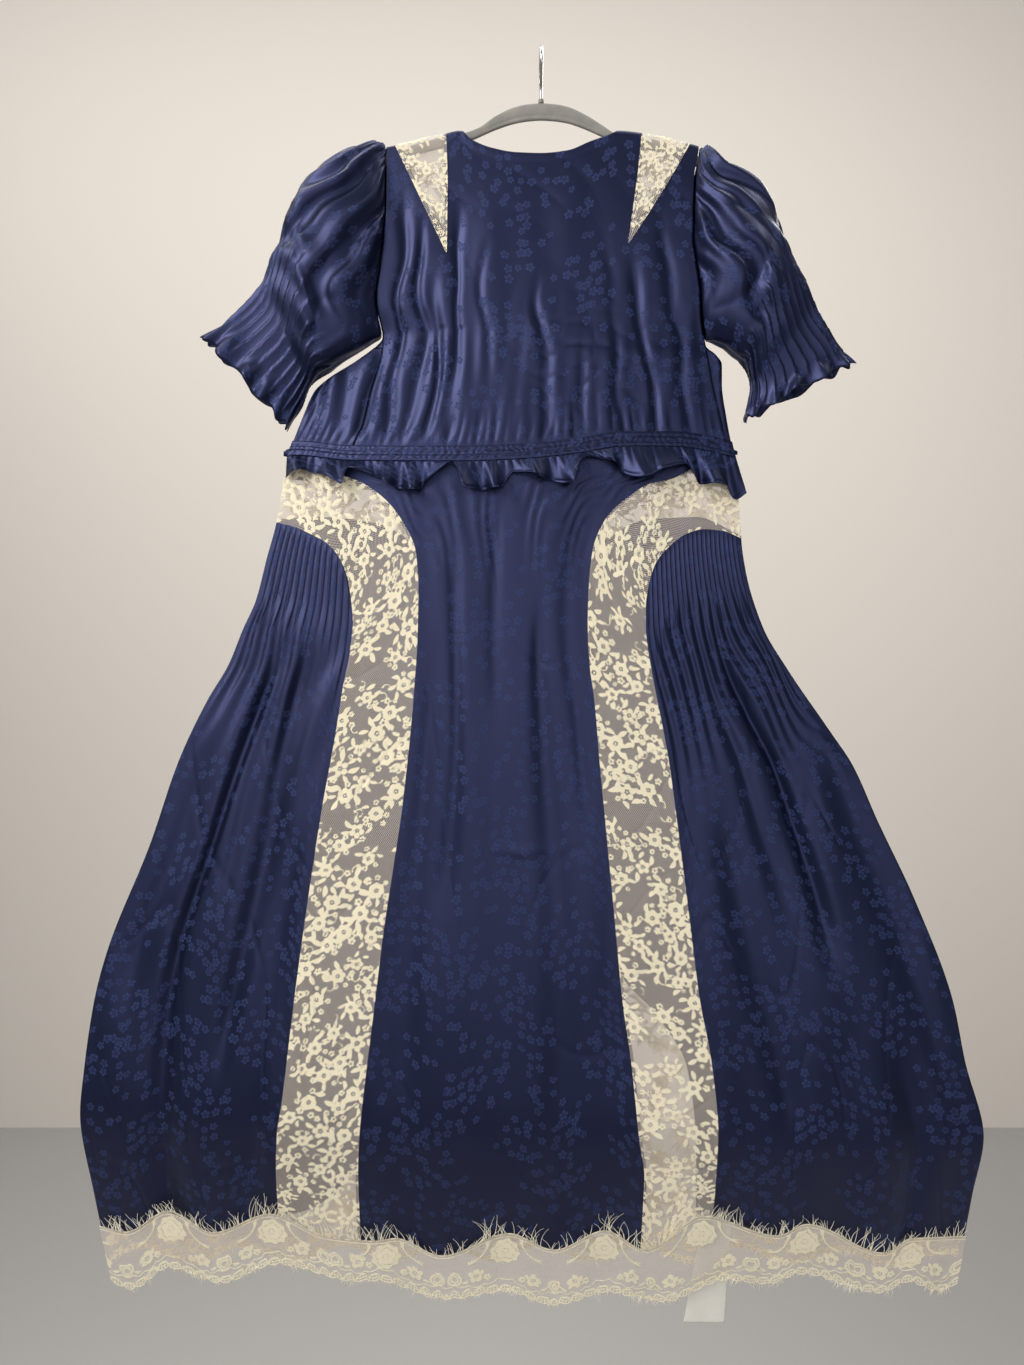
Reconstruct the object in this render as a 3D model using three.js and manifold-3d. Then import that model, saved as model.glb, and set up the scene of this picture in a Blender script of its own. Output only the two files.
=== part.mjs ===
/*
 * A puff sleeve midi dress hanging on a flat hanger, in millimetres. +Z is up, +X is to the right and
 * -Y is towards someone who looks at the back of the dress. The origin is the inside of the hook's top,
 * where a rail carries it. The near side of the dress faces -Y and the far side +Y. Between them lies a
 * flat hollow, deepest in the middle and closed at the side seams.
 */
import * as THREE from 'three';
import { mergeVertices } from 'three/addons/utils/BufferGeometryUtils.js';
import Module from 'manifold-3d';

const wasm = await Module();
wasm.setup();
const { lerp, clamp } = THREE.MathUtils;

// Walls and gaps
const SATIN = 1.4;
const LACE = 1.1;
const LAYER_GAP = 0.6;
const SEAM = 0.4;
const SLIT = 0.2;
const LAP = 3;
const OVER_LACE = 2 * LAYER_GAP + LACE;

// The lowest part leans back, from a soft corner whose height drops a little towards the right
const LEAN = { slope: 0.287, softness: 25, z: -1124, atX: -488, drop: 0.034 };

// Below the shoulder seam the cloth opens round the hanger. These are rows of points below the seam
const SHOULDER = { drop: 5, rows: [0, 1.3, 3, 6] };

// Left and right outline of the dress, from the shoulder down the armhole, the bodice's side and the skirt
const LEFT_EDGE = [
  { z: -85, x: -163 }, { z: -161, x: -163 }, { z: -223, x: -168 }, { z: -266, x: -174 }, { z: -303, x: -168 },
  { z: -312, x: -175 }, { z: -328, x: -196 }, { z: -347, x: -226 }, { z: -360, x: -240 }, { z: -384, x: -251 },
  { z: -434, x: -269 }, { z: -499, x: -280 }, { z: -536, x: -290 }, { z: -582, x: -302 }, { z: -611, x: -315 },
  { z: -650, x: -331 }, { z: -687, x: -353 }, { z: -750, x: -383 }, { z: -840, x: -414 }, { z: -952, x: -459 },
  { z: -1005, x: -473 }, { z: -1078, x: -484 }, { z: -1140, x: -490 }, { z: -1221, x: -485 }, { z: -1350, x: -477 },
];
const RIGHT_EDGE = [
  { z: -85, x: 167 }, { z: -106, x: 166 }, { z: -135, x: 161 }, { z: -201, x: 159 }, { z: -252, x: 166 },
  { z: -278, x: 168 }, { z: -312, x: 175 }, { z: -320, x: 185 }, { z: -331, x: 192 }, { z: -351, x: 192 },
  { z: -389, x: 197 }, { z: -420, x: 203 }, { z: -459, x: 211 }, { z: -515, x: 212 }, { z: -552, x: 217 },
  { z: -610, x: 235 }, { z: -656, x: 262 }, { z: -720, x: 306 }, { z: -756, x: 330 }, { z: -814, x: 356 },
  { z: -899, x: 396 }, { z: -1005, x: 436 }, { z: -1069, x: 449 }, { z: -1155, x: 470 }, { z: -1219, x: 465 },
  { z: -1350, x: 461 },
];

// Half depth of the hollow on each side, in the middle of the dress
const DEPTHS = [
  { z: -85, near: 6, far: 6 }, { z: -150, near: 10, far: 9 }, { z: -230, near: 13, far: 11 },
  { z: -330, near: 17, far: 14 }, { z: -470, near: 17, far: 14 }, { z: -560, near: 19, far: 15 },
  { z: -800, near: 21, far: 16 }, { z: -1100, near: 19, far: 15 }, { z: -1270, near: 15, far: 12 },
  { z: -1350, near: 12, far: 10 },
];
// Half depth at the armholes, which stay open between the shoulder and the underarm
const ARMHOLE = [
  { z: -85, open: 4.8 }, { z: -104, open: 4.8 }, { z: -150, open: 8 }, { z: -220, open: 10 },
  { z: -270, open: 7 }, { z: -302, open: 0.4 }, { z: -312, open: 0 }, { z: -1400, open: 0 },
];

// Shoulder seams, and the neck edges between them
const SHOULDER_LINE = [
  { x: -170, z: -103 }, { x: -163, z: -102 }, { x: -101, z: -88 }, { x: -86, z: -85 }, { x: 82, z: -85 },
  { x: 103, z: -87 }, { x: 159, z: -99 }, { x: 170, z: -102 },
];
const BACK_NECK = [
  { x: -84, z: -86 }, { x: -73, z: -97 }, { x: -52, z: -106 }, { x: -26, z: -111 }, { x: 0, z: -112 },
  { x: 28, z: -109 }, { x: 52, z: -99 }, { x: 75, z: -90 }, { x: 81, z: -86 },
];
const FRONT_NECK = [
  { x: -84, z: -86 }, { x: -80, z: -112 }, { x: -66, z: -136 }, { x: -36, z: -152 }, { x: 0, z: -157 },
  { x: 34, z: -152 }, { x: 63, z: -136 }, { x: 77, z: -112 }, { x: 81, z: -86 },
];
const NECK = { left: -84, right: 81 };

// The lace inset at each shoulder: its top corners, its tip, and the bow of its outer edge
const INSETS = {
  left: { outer: -155, inner: -100, innerLow: -98, tipX: -100, tipZ: -218, bow: 0 },
  right: { outer: 158, inner: 106, innerLow: 101, tipX: 92, tipZ: -208, bow: 2 },
};

// The fold line between the back bodice and the left side of the bodice
const SIDE_FOLD = [
  { z: -296, x: -167 }, { z: -321, x: -169 }, { z: -362, x: -180 }, { z: -396, x: -188 }, { z: -421, x: -198 },
  { z: -450, x: -208 },
];
const SIDE_FOLD_DIP = { width: 9, depth: 5, from: -300, to: -350, fade: -395, end: -415 };
const SIDE_LEVELS = [-314, -340, -372, -403];
// The back bodice's right edge, short of the dress's own outline below the underarm
const BACK_RIGHT = [
  { z: -85, x: 167 }, { z: -106, x: 166 }, { z: -135, x: 161 }, { z: -201, x: 159 }, { z: -252, x: 166 },
  { z: -278, x: 168 }, { z: -310, x: 174 }, { z: -354, x: 182 }, { z: -391, x: 191 }, { z: -440, x: 202 },
];
const UNDERARM = -303;
const WAIST = [
  { x: -275, z: -421 }, { x: -262, z: -417 }, { x: -196, z: -424 }, { x: -83, z: -426 }, { x: -22, z: -424 },
  { x: 36, z: -418 }, { x: 84, z: -410 }, { x: 142, z: -409 }, { x: 198, z: -417 }, { x: 212, z: -422 },
];
const CASING = { above: 4, below: 12, thick: 1.4, gathers: 30, raised: 1, closed: 0.6 };
const WAIST_GAP = { above: 0.6, below: 3 };

// Soft folds of the back bodice: where across it, their depth, and where they start
const BODICE_FOLDS = [
  { u: 0.064, depth: 4, from: -140 }, { u: 0.13, depth: 4.5, from: -172 }, { u: 0.182, depth: 4, from: -222 },
  { u: 0.24, depth: 2.5, from: -150 }, { u: 0.5, depth: 3, from: -230 }, { u: 0.809, depth: 4, from: -200 },
  { u: 0.912, depth: 2.5, from: -165 },
];
const BODICE_FOLD_WIDTH = 0.02;
// The bodice's columns, as x at the shoulder: at the folds, and at both ends of the neck edge
const BACK_COLUMNS = [
  -163, -152, -142, -131, -120, -112, -103, -94, -86, -82, -74, -56, -28, 2, 32, 58, 75, 79.5, 83, 93, 104, 120,
  138, 152, 167,
];
const FRONT_COLUMNS = [-163, -135, -103, -86, -83, -80, -66, -36, 0, 34, 63, 76, 80.4, 83, 103, 135, 167];
const GATHERS = { near: 30, far: 18, raised: 1.4, from: 70, full: 22, to: 5 };

// The lower edge of the waist ruffle on the near side
const RUFFLE_EDGE = [
  { x: -269, z: -453 }, { x: -250, z: -446 }, { x: -231, z: -450 }, { x: -208, z: -463 }, { x: -197, z: -445 },
  { x: -177, z: -453 }, { x: -132, z: -470 }, { x: -112, z: -454 }, { x: -96, z: -440 }, { x: -74, z: -469 },
  { x: -40, z: -467 }, { x: -27, z: -450 }, { x: 0, z: -456 }, { x: 28, z: -463 }, { x: 40, z: -442 },
  { x: 52, z: -434 }, { x: 76, z: -442 }, { x: 100, z: -456 }, { x: 130, z: -447 }, { x: 148, z: -440 },
  { x: 165, z: -460 }, { x: 192, z: -463 }, { x: 206, z: -476 }, { x: 216, z: -469 },
];
const RUFFLE = { near: 12, far: 9, wave: 6.5, thick: 1.6, overhang: 2.5, farDrop: 34 };

// The lace bands. Each row is one crossing of the band: its edge on the centre panel and on the side panel
const NEAR_LEFT_BAND = [
  { outX: -267, outZ: -430, inX: -280, inZ: -499 }, { outX: -241, outZ: -433, inX: -261, inZ: -504 },
  { outX: -216, outZ: -448, inX: -241, inZ: -513 }, { outX: -190, outZ: -458, inX: -225, inZ: -522 },
  { outX: -163, outZ: -477, inX: -211, inZ: -539 }, { outX: -142, outZ: -505, inX: -203, inZ: -559 },
  { outX: -131, outZ: -532, inX: -199, inZ: -582 }, { outX: -128, outZ: -572, inX: -197, inZ: -605 },
  { outX: -129, outZ: -624, inX: -200, inZ: -636 }, { outX: -132, outZ: -670, inX: -207, inZ: -672 },
  { outX: -137, outZ: -729, inX: -216, inZ: -729 }, { outX: -145, outZ: -800, inX: -229, inZ: -800 },
  { outX: -164, outZ: -926, inX: -248, inZ: -926 }, { outX: -173, outZ: -999, inX: -258, inZ: -999 },
  { outX: -186, outZ: -1103, inX: -271, inZ: -1103 }, { outX: -191, outZ: -1150, inX: -278, inZ: -1146 },
  { outX: -194, outZ: -1201, inX: -282, inZ: -1196 }, { outX: -195, outZ: -1275, inX: -283, inZ: -1244 },
];
const NEAR_RIGHT_BAND = [
  { outX: 205, outZ: -428, inX: 212, inZ: -516 }, { outX: 184, outZ: -431, inX: 190, inZ: -508 },
  { outX: 160, outZ: -443, inX: 172, inZ: -507 }, { outX: 136, outZ: -455, inX: 155, inZ: -511 },
  { outX: 114, outZ: -460, inX: 135, inZ: -525 }, { outX: 90, outZ: -475, inX: 119, inZ: -545 },
  { outX: 66, outZ: -499, inX: 112, inZ: -568 }, { outX: 53, outZ: -532, inX: 109, inZ: -590 },
  { outX: 49, outZ: -572, inX: 109, inZ: -611 }, { outX: 48, outZ: -610, inX: 111, inZ: -632 },
  { outX: 50, outZ: -650, inX: 115, inZ: -656 }, { outX: 55, outZ: -688, inX: 121, inZ: -688 },
  { outX: 60, outZ: -748, inX: 132, inZ: -746 }, { outX: 66, outZ: -812, inX: 141, inZ: -812 },
  { outX: 75, outZ: -905, inX: 153, inZ: -905 }, { outX: 84, outZ: -999, inX: 165, inZ: -999 },
  { outX: 93, outZ: -1062, inX: 177, inZ: -1062 }, { outX: 102, outZ: -1145, inX: 185, inZ: -1142 },
  { outX: 109, outZ: -1196, inX: 185, inZ: -1194 }, { outX: 108, outZ: -1285, inX: 184, inZ: -1243 },
];
const FAR_LEFT_BAND = [
  { outX: -270, outZ: -430, inX: -280, inZ: -498 }, { outX: -215, outZ: -432, inX: -236, inZ: -495 },
  { outX: -151, outZ: -436, inX: -183, inZ: -500 }, { outX: -97, outZ: -452, inX: -145, inZ: -516 },
  { outX: -67, outZ: -483, inX: -127, inZ: -539 }, { outX: -56, outZ: -526, inX: -121, inZ: -569 },
  { outX: -55, outZ: -580, inX: -119, inZ: -608 }, { outX: -57, outZ: -687, inX: -123, inZ: -687 },
  { outX: -67, outZ: -794, inX: -138, inZ: -794 }, { outX: -81, outZ: -901, inX: -155, inZ: -901 },
  { outX: -92, outZ: -1009, inX: -168, inZ: -1009 }, { outX: -99, outZ: -1095, inX: -181, inZ: -1095 },
  { outX: -111, outZ: -1162, inX: -193, inZ: -1163 }, { outX: -126, outZ: -1220, inX: -215, inZ: -1212 },
  { outX: -142, outZ: -1269, inX: -230, inZ: -1244 },
];
const FAR_RIGHT_BAND = [
  { outX: 206, outZ: -427, inX: 212, inZ: -515 }, { outX: 160, outZ: -430, inX: 171, inZ: -495 },
  { outX: 96, outZ: -433, inX: 117, inZ: -496 }, { outX: 37, outZ: -449, inX: 76, inZ: -513 },
  { outX: -6, outZ: -483, inX: 53, inZ: -539 }, { outX: -19, outZ: -526, inX: 45, inZ: -571 },
  { outX: -20, outZ: -580, inX: 43, inZ: -608 }, { outX: -18, outZ: -687, inX: 49, inZ: -687 },
  { outX: -11, outZ: -794, inX: 59, inZ: -794 }, { outX: -1, outZ: -901, inX: 72, inZ: -901 },
  { outX: 18, outZ: -998, inX: 90, inZ: -982 }, { outX: 52, outZ: -1062, inX: 130, inZ: -1028 },
  { outX: 73, outZ: -1116, inX: 160, inZ: -1080 }, { outX: 80, outZ: -1174, inX: 170, inZ: -1150 },
  { outX: 83, outZ: -1264, inX: 175, inZ: -1256 },
];

// Top edges of the pin-tucked side panels, across each panel from left to right
const TUCKED_TOPS = {
  nearLeft: [
    { u: 0, z: -496 }, { u: 0.22, z: -501 }, { u: 0.46, z: -511 }, { u: 0.65, z: -518 }, { u: 0.8, z: -534 },
    { u: 0.89, z: -554 }, { u: 0.94, z: -577 }, { u: 0.98, z: -598 }, { u: 1, z: -610 },
  ],
  nearRight: [
    { u: 0, z: -608 }, { u: 0.025, z: -587 }, { u: 0.05, z: -566 }, { u: 0.12, z: -542 }, { u: 0.27, z: -522 },
    { u: 0.46, z: -508 }, { u: 0.62, z: -504 }, { u: 0.79, z: -505 }, { u: 1, z: -513 },
  ],
  farLeft: [
    { u: 0, z: -495 }, { u: 0.27, z: -492 }, { u: 0.6, z: -497 }, { u: 0.8, z: -510 }, { u: 0.92, z: -534 },
    { u: 0.97, z: -562 }, { u: 1, z: -606 },
  ],
  farRight: [
    { u: 0, z: -606 }, { u: 0.03, z: -565 }, { u: 0.07, z: -537 }, { u: 0.2, z: -512 }, { u: 0.43, z: -494 },
    { u: 0.73, z: -492 }, { u: 1, z: -512 },
  ],
};
// Pin-tucks of each side panel: how many, how high, and where they start to open and have opened
const TUCKS = {
  nearLeft: { count: 14, raised: 1.5, hold: 78, open: 108 },
  nearRight: { count: 20, raised: 1.4, hold: 66, open: 92 },
  farLeft: { count: 12, raised: 1.5, hold: 78, open: 108 },
  farRight: { count: 12, raised: 1.4, hold: 66, open: 92 },
};
// Soft hanging folds of each skirt panel: where across it, how deep, and between which heights
const SKIRT_FOLDS = {
  nearLeft: [
    { u: 0.18, depth: 3, from: -700, to: -1000 }, { u: 0.38, depth: 6, from: -610, to: -1270 },
    { u: 0.68, depth: 6, from: -600, to: -1060 },
  ],
  nearRight: [
    { u: 0.26, depth: 3.5, from: -780, to: -1150 }, { u: 0.56, depth: 6.5, from: -610, to: -960 },
    { u: 0.77, depth: 4.5, from: -1020, to: -1270 },
  ],
  nearCentre: [{ u: 0.24, depth: 3, from: -480, to: -900 }, { u: 0.72, depth: 2.5, from: -560, to: -1270 }],
  farLeft: [{ u: 0.35, depth: 5, from: -560, to: -1270 }, { u: 0.7, depth: 4, from: -560, to: -1100 }],
  farRight: [{ u: 0.3, depth: 4, from: -560, to: -1270 }, { u: 0.65, depth: 5, from: -560, to: -1200 }],
  farCentre: [{ u: 0.5, depth: 3, from: -480, to: -1270 }],
};
const SKIRT_FOLD_WIDTH = 0.06;
// The columns of each skirt panel, at its folds and midway between them
const SKIRT_COLUMNS = {
  nearLeft: [0, 0.08, 0.18, 0.28, 0.38, 0.48, 0.58, 0.68, 0.78, 0.88, 1],
  nearRight: [0, 0.08, 0.17, 0.26, 0.36, 0.46, 0.56, 0.66, 0.77, 0.88, 1],
  nearCentre: [0, 0.08, 0.16, 0.24, 0.33, 0.48, 0.62, 0.72, 0.82, 0.92, 1],
  farLeft: [0, 0.12, 0.23, 0.35, 0.47, 0.58, 0.7, 0.82, 1],
  farRight: [0, 0.15, 0.3, 0.42, 0.54, 0.65, 0.76, 0.88, 1],
  farCentre: [0, 0.13, 0.26, 0.38, 0.5, 0.62, 0.74, 0.87, 1],
};
// Heights at which all skirt pieces share a row of points, closest at the soft corner
const SKIRT_LEVELS = [-760, -850, -940, -1020, -1075, -1110, -1140, -1170, -1210];

// The hem lace: its scalloped top and bottom edges, its small bottom lobes and its eyelash fringe
const HEM_TOP = [
  { x: -482, z: -1263 }, { x: -454, z: -1269 }, { x: -402, z: -1240 }, { x: -357, z: -1266 }, { x: -291, z: -1240 },
  { x: -232, z: -1267 }, { x: -180, z: -1272 }, { x: -156, z: -1268 }, { x: -107, z: -1290 }, { x: -34, z: -1260 },
  { x: 15, z: -1281 }, { x: 69, z: -1256 }, { x: 114, z: -1281 }, { x: 173, z: -1238 }, { x: 256, z: -1264 },
  { x: 286, z: -1250 }, { x: 375, z: -1289 }, { x: 404, z: -1271 }, { x: 465, z: -1270 },
];
const HEM_BOTTOM = [
  { x: -482, z: -1331 }, { x: -457, z: -1344 }, { x: -409, z: -1313 }, { x: -358, z: -1331 }, { x: -285, z: -1304 },
  { x: -203, z: -1324 }, { x: -179, z: -1323 }, { x: -106, z: -1347 }, { x: -39, z: -1336 }, { x: 14, z: -1353 },
  { x: 75, z: -1336 }, { x: 132, z: -1349 }, { x: 205, z: -1321 }, { x: 250, z: -1326 }, { x: 283, z: -1313 },
  { x: 375, z: -1340 }, { x: 406, z: -1326 }, { x: 445, z: -1341 }, { x: 465, z: -1328 },
];
const FAR_HEM = { repeat: 111, peak: -220, mean: -1242, wave: 10, tall: 66 };
const LOBE = { near: 66, far: 30, deep: 3 };
const EYELASH = {
  strip: 2.4, thick: 1, root: 1.6,
  nearTop: { count: 52, long: 17 }, nearBottom: { count: 32, long: 9 },
  farTop: { count: 20, long: 15 }, farBottom: { count: 14, long: 9 },
};
const CARE_LABEL = {
  thick: 1, behind: 0.35, top: { left: 176, right: 206, z: -1234 }, bottom: { left: 161, right: 207, z: -1384 },
};

// The sleeves. Each row is one ring: its upper outline point, its underside point and its half depth
const LEFT_SLEEVE = [
  { outX: -168, outZ: -101, inX: -168, inZ: -301, depth: 11 },
  { outX: -180, outZ: -96, inX: -180, inZ: -307, depth: 25 },
  { outX: -204, outZ: -103, inX: -195, inZ: -318, depth: 33 },
  { outX: -230, outZ: -121, inX: -209, inZ: -327, depth: 37 },
  { outX: -257, outZ: -147, inX: -221, inZ: -335, depth: 37 },
  { outX: -270, outZ: -187, inX: -232, inZ: -342, depth: 34 },
  { outX: -284, outZ: -219, inX: -240, inZ: -348, depth: 28 },
  { outX: -297, outZ: -248, inX: -246, inZ: -356, depth: 19 },
  { outX: -326, outZ: -281, inX: -252, inZ: -373, depth: 17 },
  { outX: -357, outZ: -303, inX: -267, inZ: -401, depth: 20 },
];
const RIGHT_SLEEVE = [
  { outX: 168, outZ: -103, inX: 176, inZ: -307, depth: 11 },
  { outX: 181, outZ: -102, inX: 186, inZ: -308, depth: 24 },
  { outX: 206, outZ: -121, inX: 196, inZ: -313, depth: 32 },
  { outX: 230, outZ: -144, inX: 203, inZ: -321, depth: 35 },
  { outX: 248, outZ: -173, inX: 210, inZ: -327, depth: 34 },
  { outX: 262, outZ: -210, inX: 216, inZ: -333, depth: 31 },
  { outX: 278, outZ: -244, inX: 220, inZ: -342, depth: 26 },
  { outX: 294, outZ: -278, inX: 222, inZ: -356, depth: 18 },
  { outX: 313, outZ: -308, inX: 219, inZ: -373, depth: 17 },
  { outX: 330, outZ: -330, inX: 214, inZ: -391, depth: 20 },
];
// hug is how far each of the first rings follows the armhole
const SLEEVE = {
  columns: 24, tucks: 24, tuckRing: 4, raised: 1.3, gathers: 12, gather: 2, folds: 5, fold: 3.2, boxy: 0.75,
  hug: [1, 0.45, 0.12], clear: 0.7,
};

// The hanger: the top of its arch and arms, how tall it is there, and its half thickness
const HANGER = [
  { x: -198, top: -121, tall: 9 }, { x: -166, top: -110.5, tall: 11 }, { x: -140, top: -100.5, tall: 11 },
  { x: -101, top: -90, tall: 11 }, { x: -83, top: -86.8, tall: 9.5 }, { x: -65, top: -80.5, tall: 9.5 },
  { x: -49, top: -69, tall: 14 }, { x: -28, top: -59, tall: 17 }, { x: -14, top: -56, tall: 17.5 },
  { x: 0, top: -55, tall: 17.5 }, { x: 14, top: -55.8, tall: 17.5 }, { x: 28, top: -58.5, tall: 17 },
  { x: 47, top: -67, tall: 15 }, { x: 63, top: -77, tall: 12 }, { x: 80, top: -87, tall: 9.5 },
  { x: 103, top: -90, tall: 11 }, { x: 135, top: -97.5, tall: 11 }, { x: 162, top: -109.5, tall: 11 },
  { x: 193, top: -119, tall: 9 },
];
const HANGER_HALF = 2.8;
const HOOK = { wire: 1.7, bend: 17, stemBottom: -50, collarRadius: 3 };

const NEAR = { name: 'near', sign: -1 };
const FAR = { name: 'far', sign: 1 };

/** The value of one column of a table at a place in another, along a smooth curve that never overshoots. */
function read(rows, key, place, value) {
  const forward = rows[0][key] < rows[rows.length - 1][key] ? 1 : -1;
  let i = 0;
  while (i < rows.length - 2 && forward * (place - rows[i + 1][key]) > 0) i += 1;
  const slope = (k) => (rows[k + 1][value] - rows[k][value]) / (rows[k + 1][key] - rows[k][key]);
  const tangent = (k) => {
    if (k === 0) return slope(0);
    if (k === rows.length - 1) return slope(k - 1);
    const before = slope(k - 1);
    const after = slope(k);
    return before * after <= 0 ? 0 : (2 * before * after) / (before + after);
  };
  const span = rows[i + 1][key] - rows[i][key];
  const t = clamp((place - rows[i][key]) / span, 0, 1);
  const rise = t * t * (3 - 2 * t);
  return (
    lerp(rows[i][value], rows[i + 1][value], rise) +
    span * ((t ** 3 - 2 * t * t + t) * tangent(i) + (t ** 3 - t * t) * tangent(i + 1))
  );
}

/** 0 before one place, 1 after another, and smooth between them. The places may run either way. */
function ramp(from, to, place) {
  const t = clamp((place - from) / (to - from), 0, 1);
  return t * t * (3 - 2 * t);
}

/** A soft bump of height 1 at 0 that fades out over the width. */
const bump = (distance, width) => Math.exp(-((distance / width) ** 2));

/** How far back the dress hangs at a place: nothing above the soft corner, then a steady lean. */
function lean(x, z) {
  const below = LEAN.z - LEAN.drop * (x - LEAN.atX) - z;
  return (LEAN.slope / 2) * (below + Math.hypot(below, LEAN.softness));
}

/** Distance of the satin's outer face from the middle of the hollow, on one side, before any folds. */
function hollow(side, x, z) {
  const left = read(LEFT_EDGE, 'z', z, 'x');
  const right = read(RIGHT_EDGE, 'z', z, 'x');
  const across = clamp((2 * x - left - right) / (right - left), -1, 1);
  const edge = read(ARMHOLE, 'z', z, 'open');
  const opened = edge + (read(DEPTHS, 'z', z, side.name) - edge) * (1 - across ** 2);
  const below = clamp((read(SHOULDER_LINE, 'x', x, 'z') - z) / SHOULDER.drop, 0, 1);
  const open = opened * Math.sqrt(1 - (1 - below) ** 2);
  return SATIN + SLIT + Math.max(0.2 * open, open - sideFoldDip(side, x, z));
}

/** The deep fold that sets the left side of the bodice back, on the near side only. */
function sideFoldDip(side, x, z) {
  if (side === FAR || x > 0) return 0;
  const { width, depth, from, to, fade, end } = SIDE_FOLD_DIP;
  const near = bump(x - read(SIDE_FOLD, 'z', z, 'x'), width);
  return depth * near * ramp(from, to, z) * ramp(end, fade, z);
}

/** The y of a face that is lifted off the satin's outer face, on one side of the dress. */
const faceY = (side, x, z, lifted) => lean(x, z) + side.sign * (hollow(side, x, z) + lifted);

/** Triangles between two rows of vertices, which may differ in number. Each vertex has its place u along its row. */
function zip(upper, lower, triangles) {
  let i = 0;
  let j = 0;
  while (i < upper.length - 1 || j < lower.length - 1) {
    const nextUpper = i < upper.length - 1 ? upper[i + 1].u : Infinity;
    const nextLower = j < lower.length - 1 ? lower[j + 1].u : Infinity;
    if (nextUpper <= nextLower) {
      triangles.push(upper[i].id, lower[j].id, upper[i + 1].id);
      i += 1;
    } else {
      triangles.push(upper[i].id, lower[j].id, lower[j + 1].id);
      j += 1;
    }
  }
}

/** A geometry from points and triangles, turned so that its faces point out. */
function geometryOf(points, triangles) {
  const [a, b, c] = [new THREE.Vector3(), new THREE.Vector3(), new THREE.Vector3()];
  let volume = 0;
  for (let i = 0; i < triangles.length; i += 3) {
    a.copy(points[triangles[i]]);
    b.copy(points[triangles[i + 1]]);
    c.copy(points[triangles[i + 2]]);
    volume += a.dot(b.cross(c));
  }
  const geometry = new THREE.BufferGeometry().setFromPoints(points);
  geometry.setIndex(volume > 0 ? triangles : [...triangles].reverse());
  return geometry;
}

/** Numbered vertices for rows of points, added to one shared list. */
function number(rows, points) {
  return rows.map((row) =>
    row.map(({ u, v, point }) => {
      points.push(point);
      return { id: points.length - 1, u, v };
    }),
  );
}

/** The first or last vertices of all rows, as a row of their own that runs down the wall's side. */
const sideOf = (rows, last) =>
  rows.map((row) => {
    const vertex = last ? row[row.length - 1] : row[0];
    return { id: vertex.id, u: vertex.v };
  });

/** A closed wall between an outer and an inner sheet, each given as rows of points from top to bottom. */
function wall(outerRows, innerRows) {
  const points = [];
  const triangles = [];
  const outer = number(outerRows, points);
  const inner = number(innerRows, points);
  for (let r = 0; r < outer.length - 1; r += 1) zip(outer[r], outer[r + 1], triangles);
  for (let r = 0; r < inner.length - 1; r += 1) zip(inner[r + 1], inner[r], triangles);
  zip(inner[0], outer[0], triangles);
  zip(outer[outer.length - 1], inner[inner.length - 1], triangles);
  zip(sideOf(outer, false), sideOf(inner, false), triangles);
  zip(sideOf(inner, true), sideOf(outer, true), triangles);
  return geometryOf(points, triangles);
}

/** A tube's wall from closed outer and inner rings. A ring's last vertex is its first one again. */
function tubeWall(outerRings, innerRings) {
  const points = [];
  const triangles = [];
  const close = (ring) => [...ring, { ...ring[0], u: 1 }];
  const outer = number(outerRings, points).map(close);
  const inner = number(innerRings, points).map(close);
  for (let r = 0; r < outer.length - 1; r += 1) zip(outer[r], outer[r + 1], triangles);
  for (let r = 0; r < inner.length - 1; r += 1) zip(inner[r + 1], inner[r], triangles);
  zip(inner[0], outer[0], triangles);
  zip(outer[outer.length - 1], inner[inner.length - 1], triangles);
  return geometryOf(points, triangles);
}

/** A solid rod through closed rings, with a flat fan over each end. */
function rod(ringPoints) {
  const points = [];
  const triangles = [];
  const rings = number(ringPoints, points);
  const close = (ring) => [...ring, { ...ring[0], u: 1 }];
  for (let r = 0; r < rings.length - 1; r += 1) zip(close(rings[r]), close(rings[r + 1]), triangles);
  const first = rings[0];
  const last = rings[rings.length - 1];
  for (let k = 1; k < first.length - 1; k += 1) {
    triangles.push(first[0].id, first[k].id, first[k + 1].id);
    triangles.push(last[0].id, last[k + 1].id, last[k].id);
  }
  return geometryOf(points, triangles);
}

/** Evenly spaced numbers from 0 to 1. */
const steps = (count) => Array.from({ length: count + 1 }, (_, i) => i / count);

const none = () => 0;

/**
 * A panel of one side of the dress. left and right give x at a height. outer and inner are the two faces' rows
 * from top to bottom: each row has a line, which gives z across the panel, and its columns. fold moves the
 * cloth inwards, raise moves only its outer face outwards, and lift is the inner face's height over the satin.
 */
function panel({ side, left, right, outer, inner, fold = none, raise = none, lift = -SATIN, thick = SATIN }) {
  const face = (rows, offset) =>
    rows.map(({ line, columns }) =>
      columns.map((u) => {
        const z = line(u);
        const x = lerp(left(z), right(z), u);
        const y = faceY(side, x, z, lift - fold(u, x, z) + offset(u, x, z));
        return { u, v: -z, point: new THREE.Vector3(x, y, z) };
      }),
    );
  return wall(face(outer, (...place) => thick + raise(...place)), face(inner, none));
}

/** Lines that lie at parts of the way from one line down to another. */
const linesBetween = (top, bottom, parts) => parts.map((part) => (u) => lerp(top(u), bottom(u), part));

/** Rows that share the same columns. */
const rowsWith = (lines, columns) => lines.map((line) => ({ line, columns }));

/** Level lines at the given heights. */
const levelLines = (heights) => heights.map((z) => () => z);

/** The line of an edge that is known as z at x, across a panel between left and right. */
function edgeLine(left, right, edge) {
  return (u) => {
    let z = edge(lerp(left(edge(0)), right(edge(0)), u));
    for (let i = 0; i < 3; i += 1) z = edge(lerp(left(z), right(z), u));
    return z;
  };
}

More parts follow.
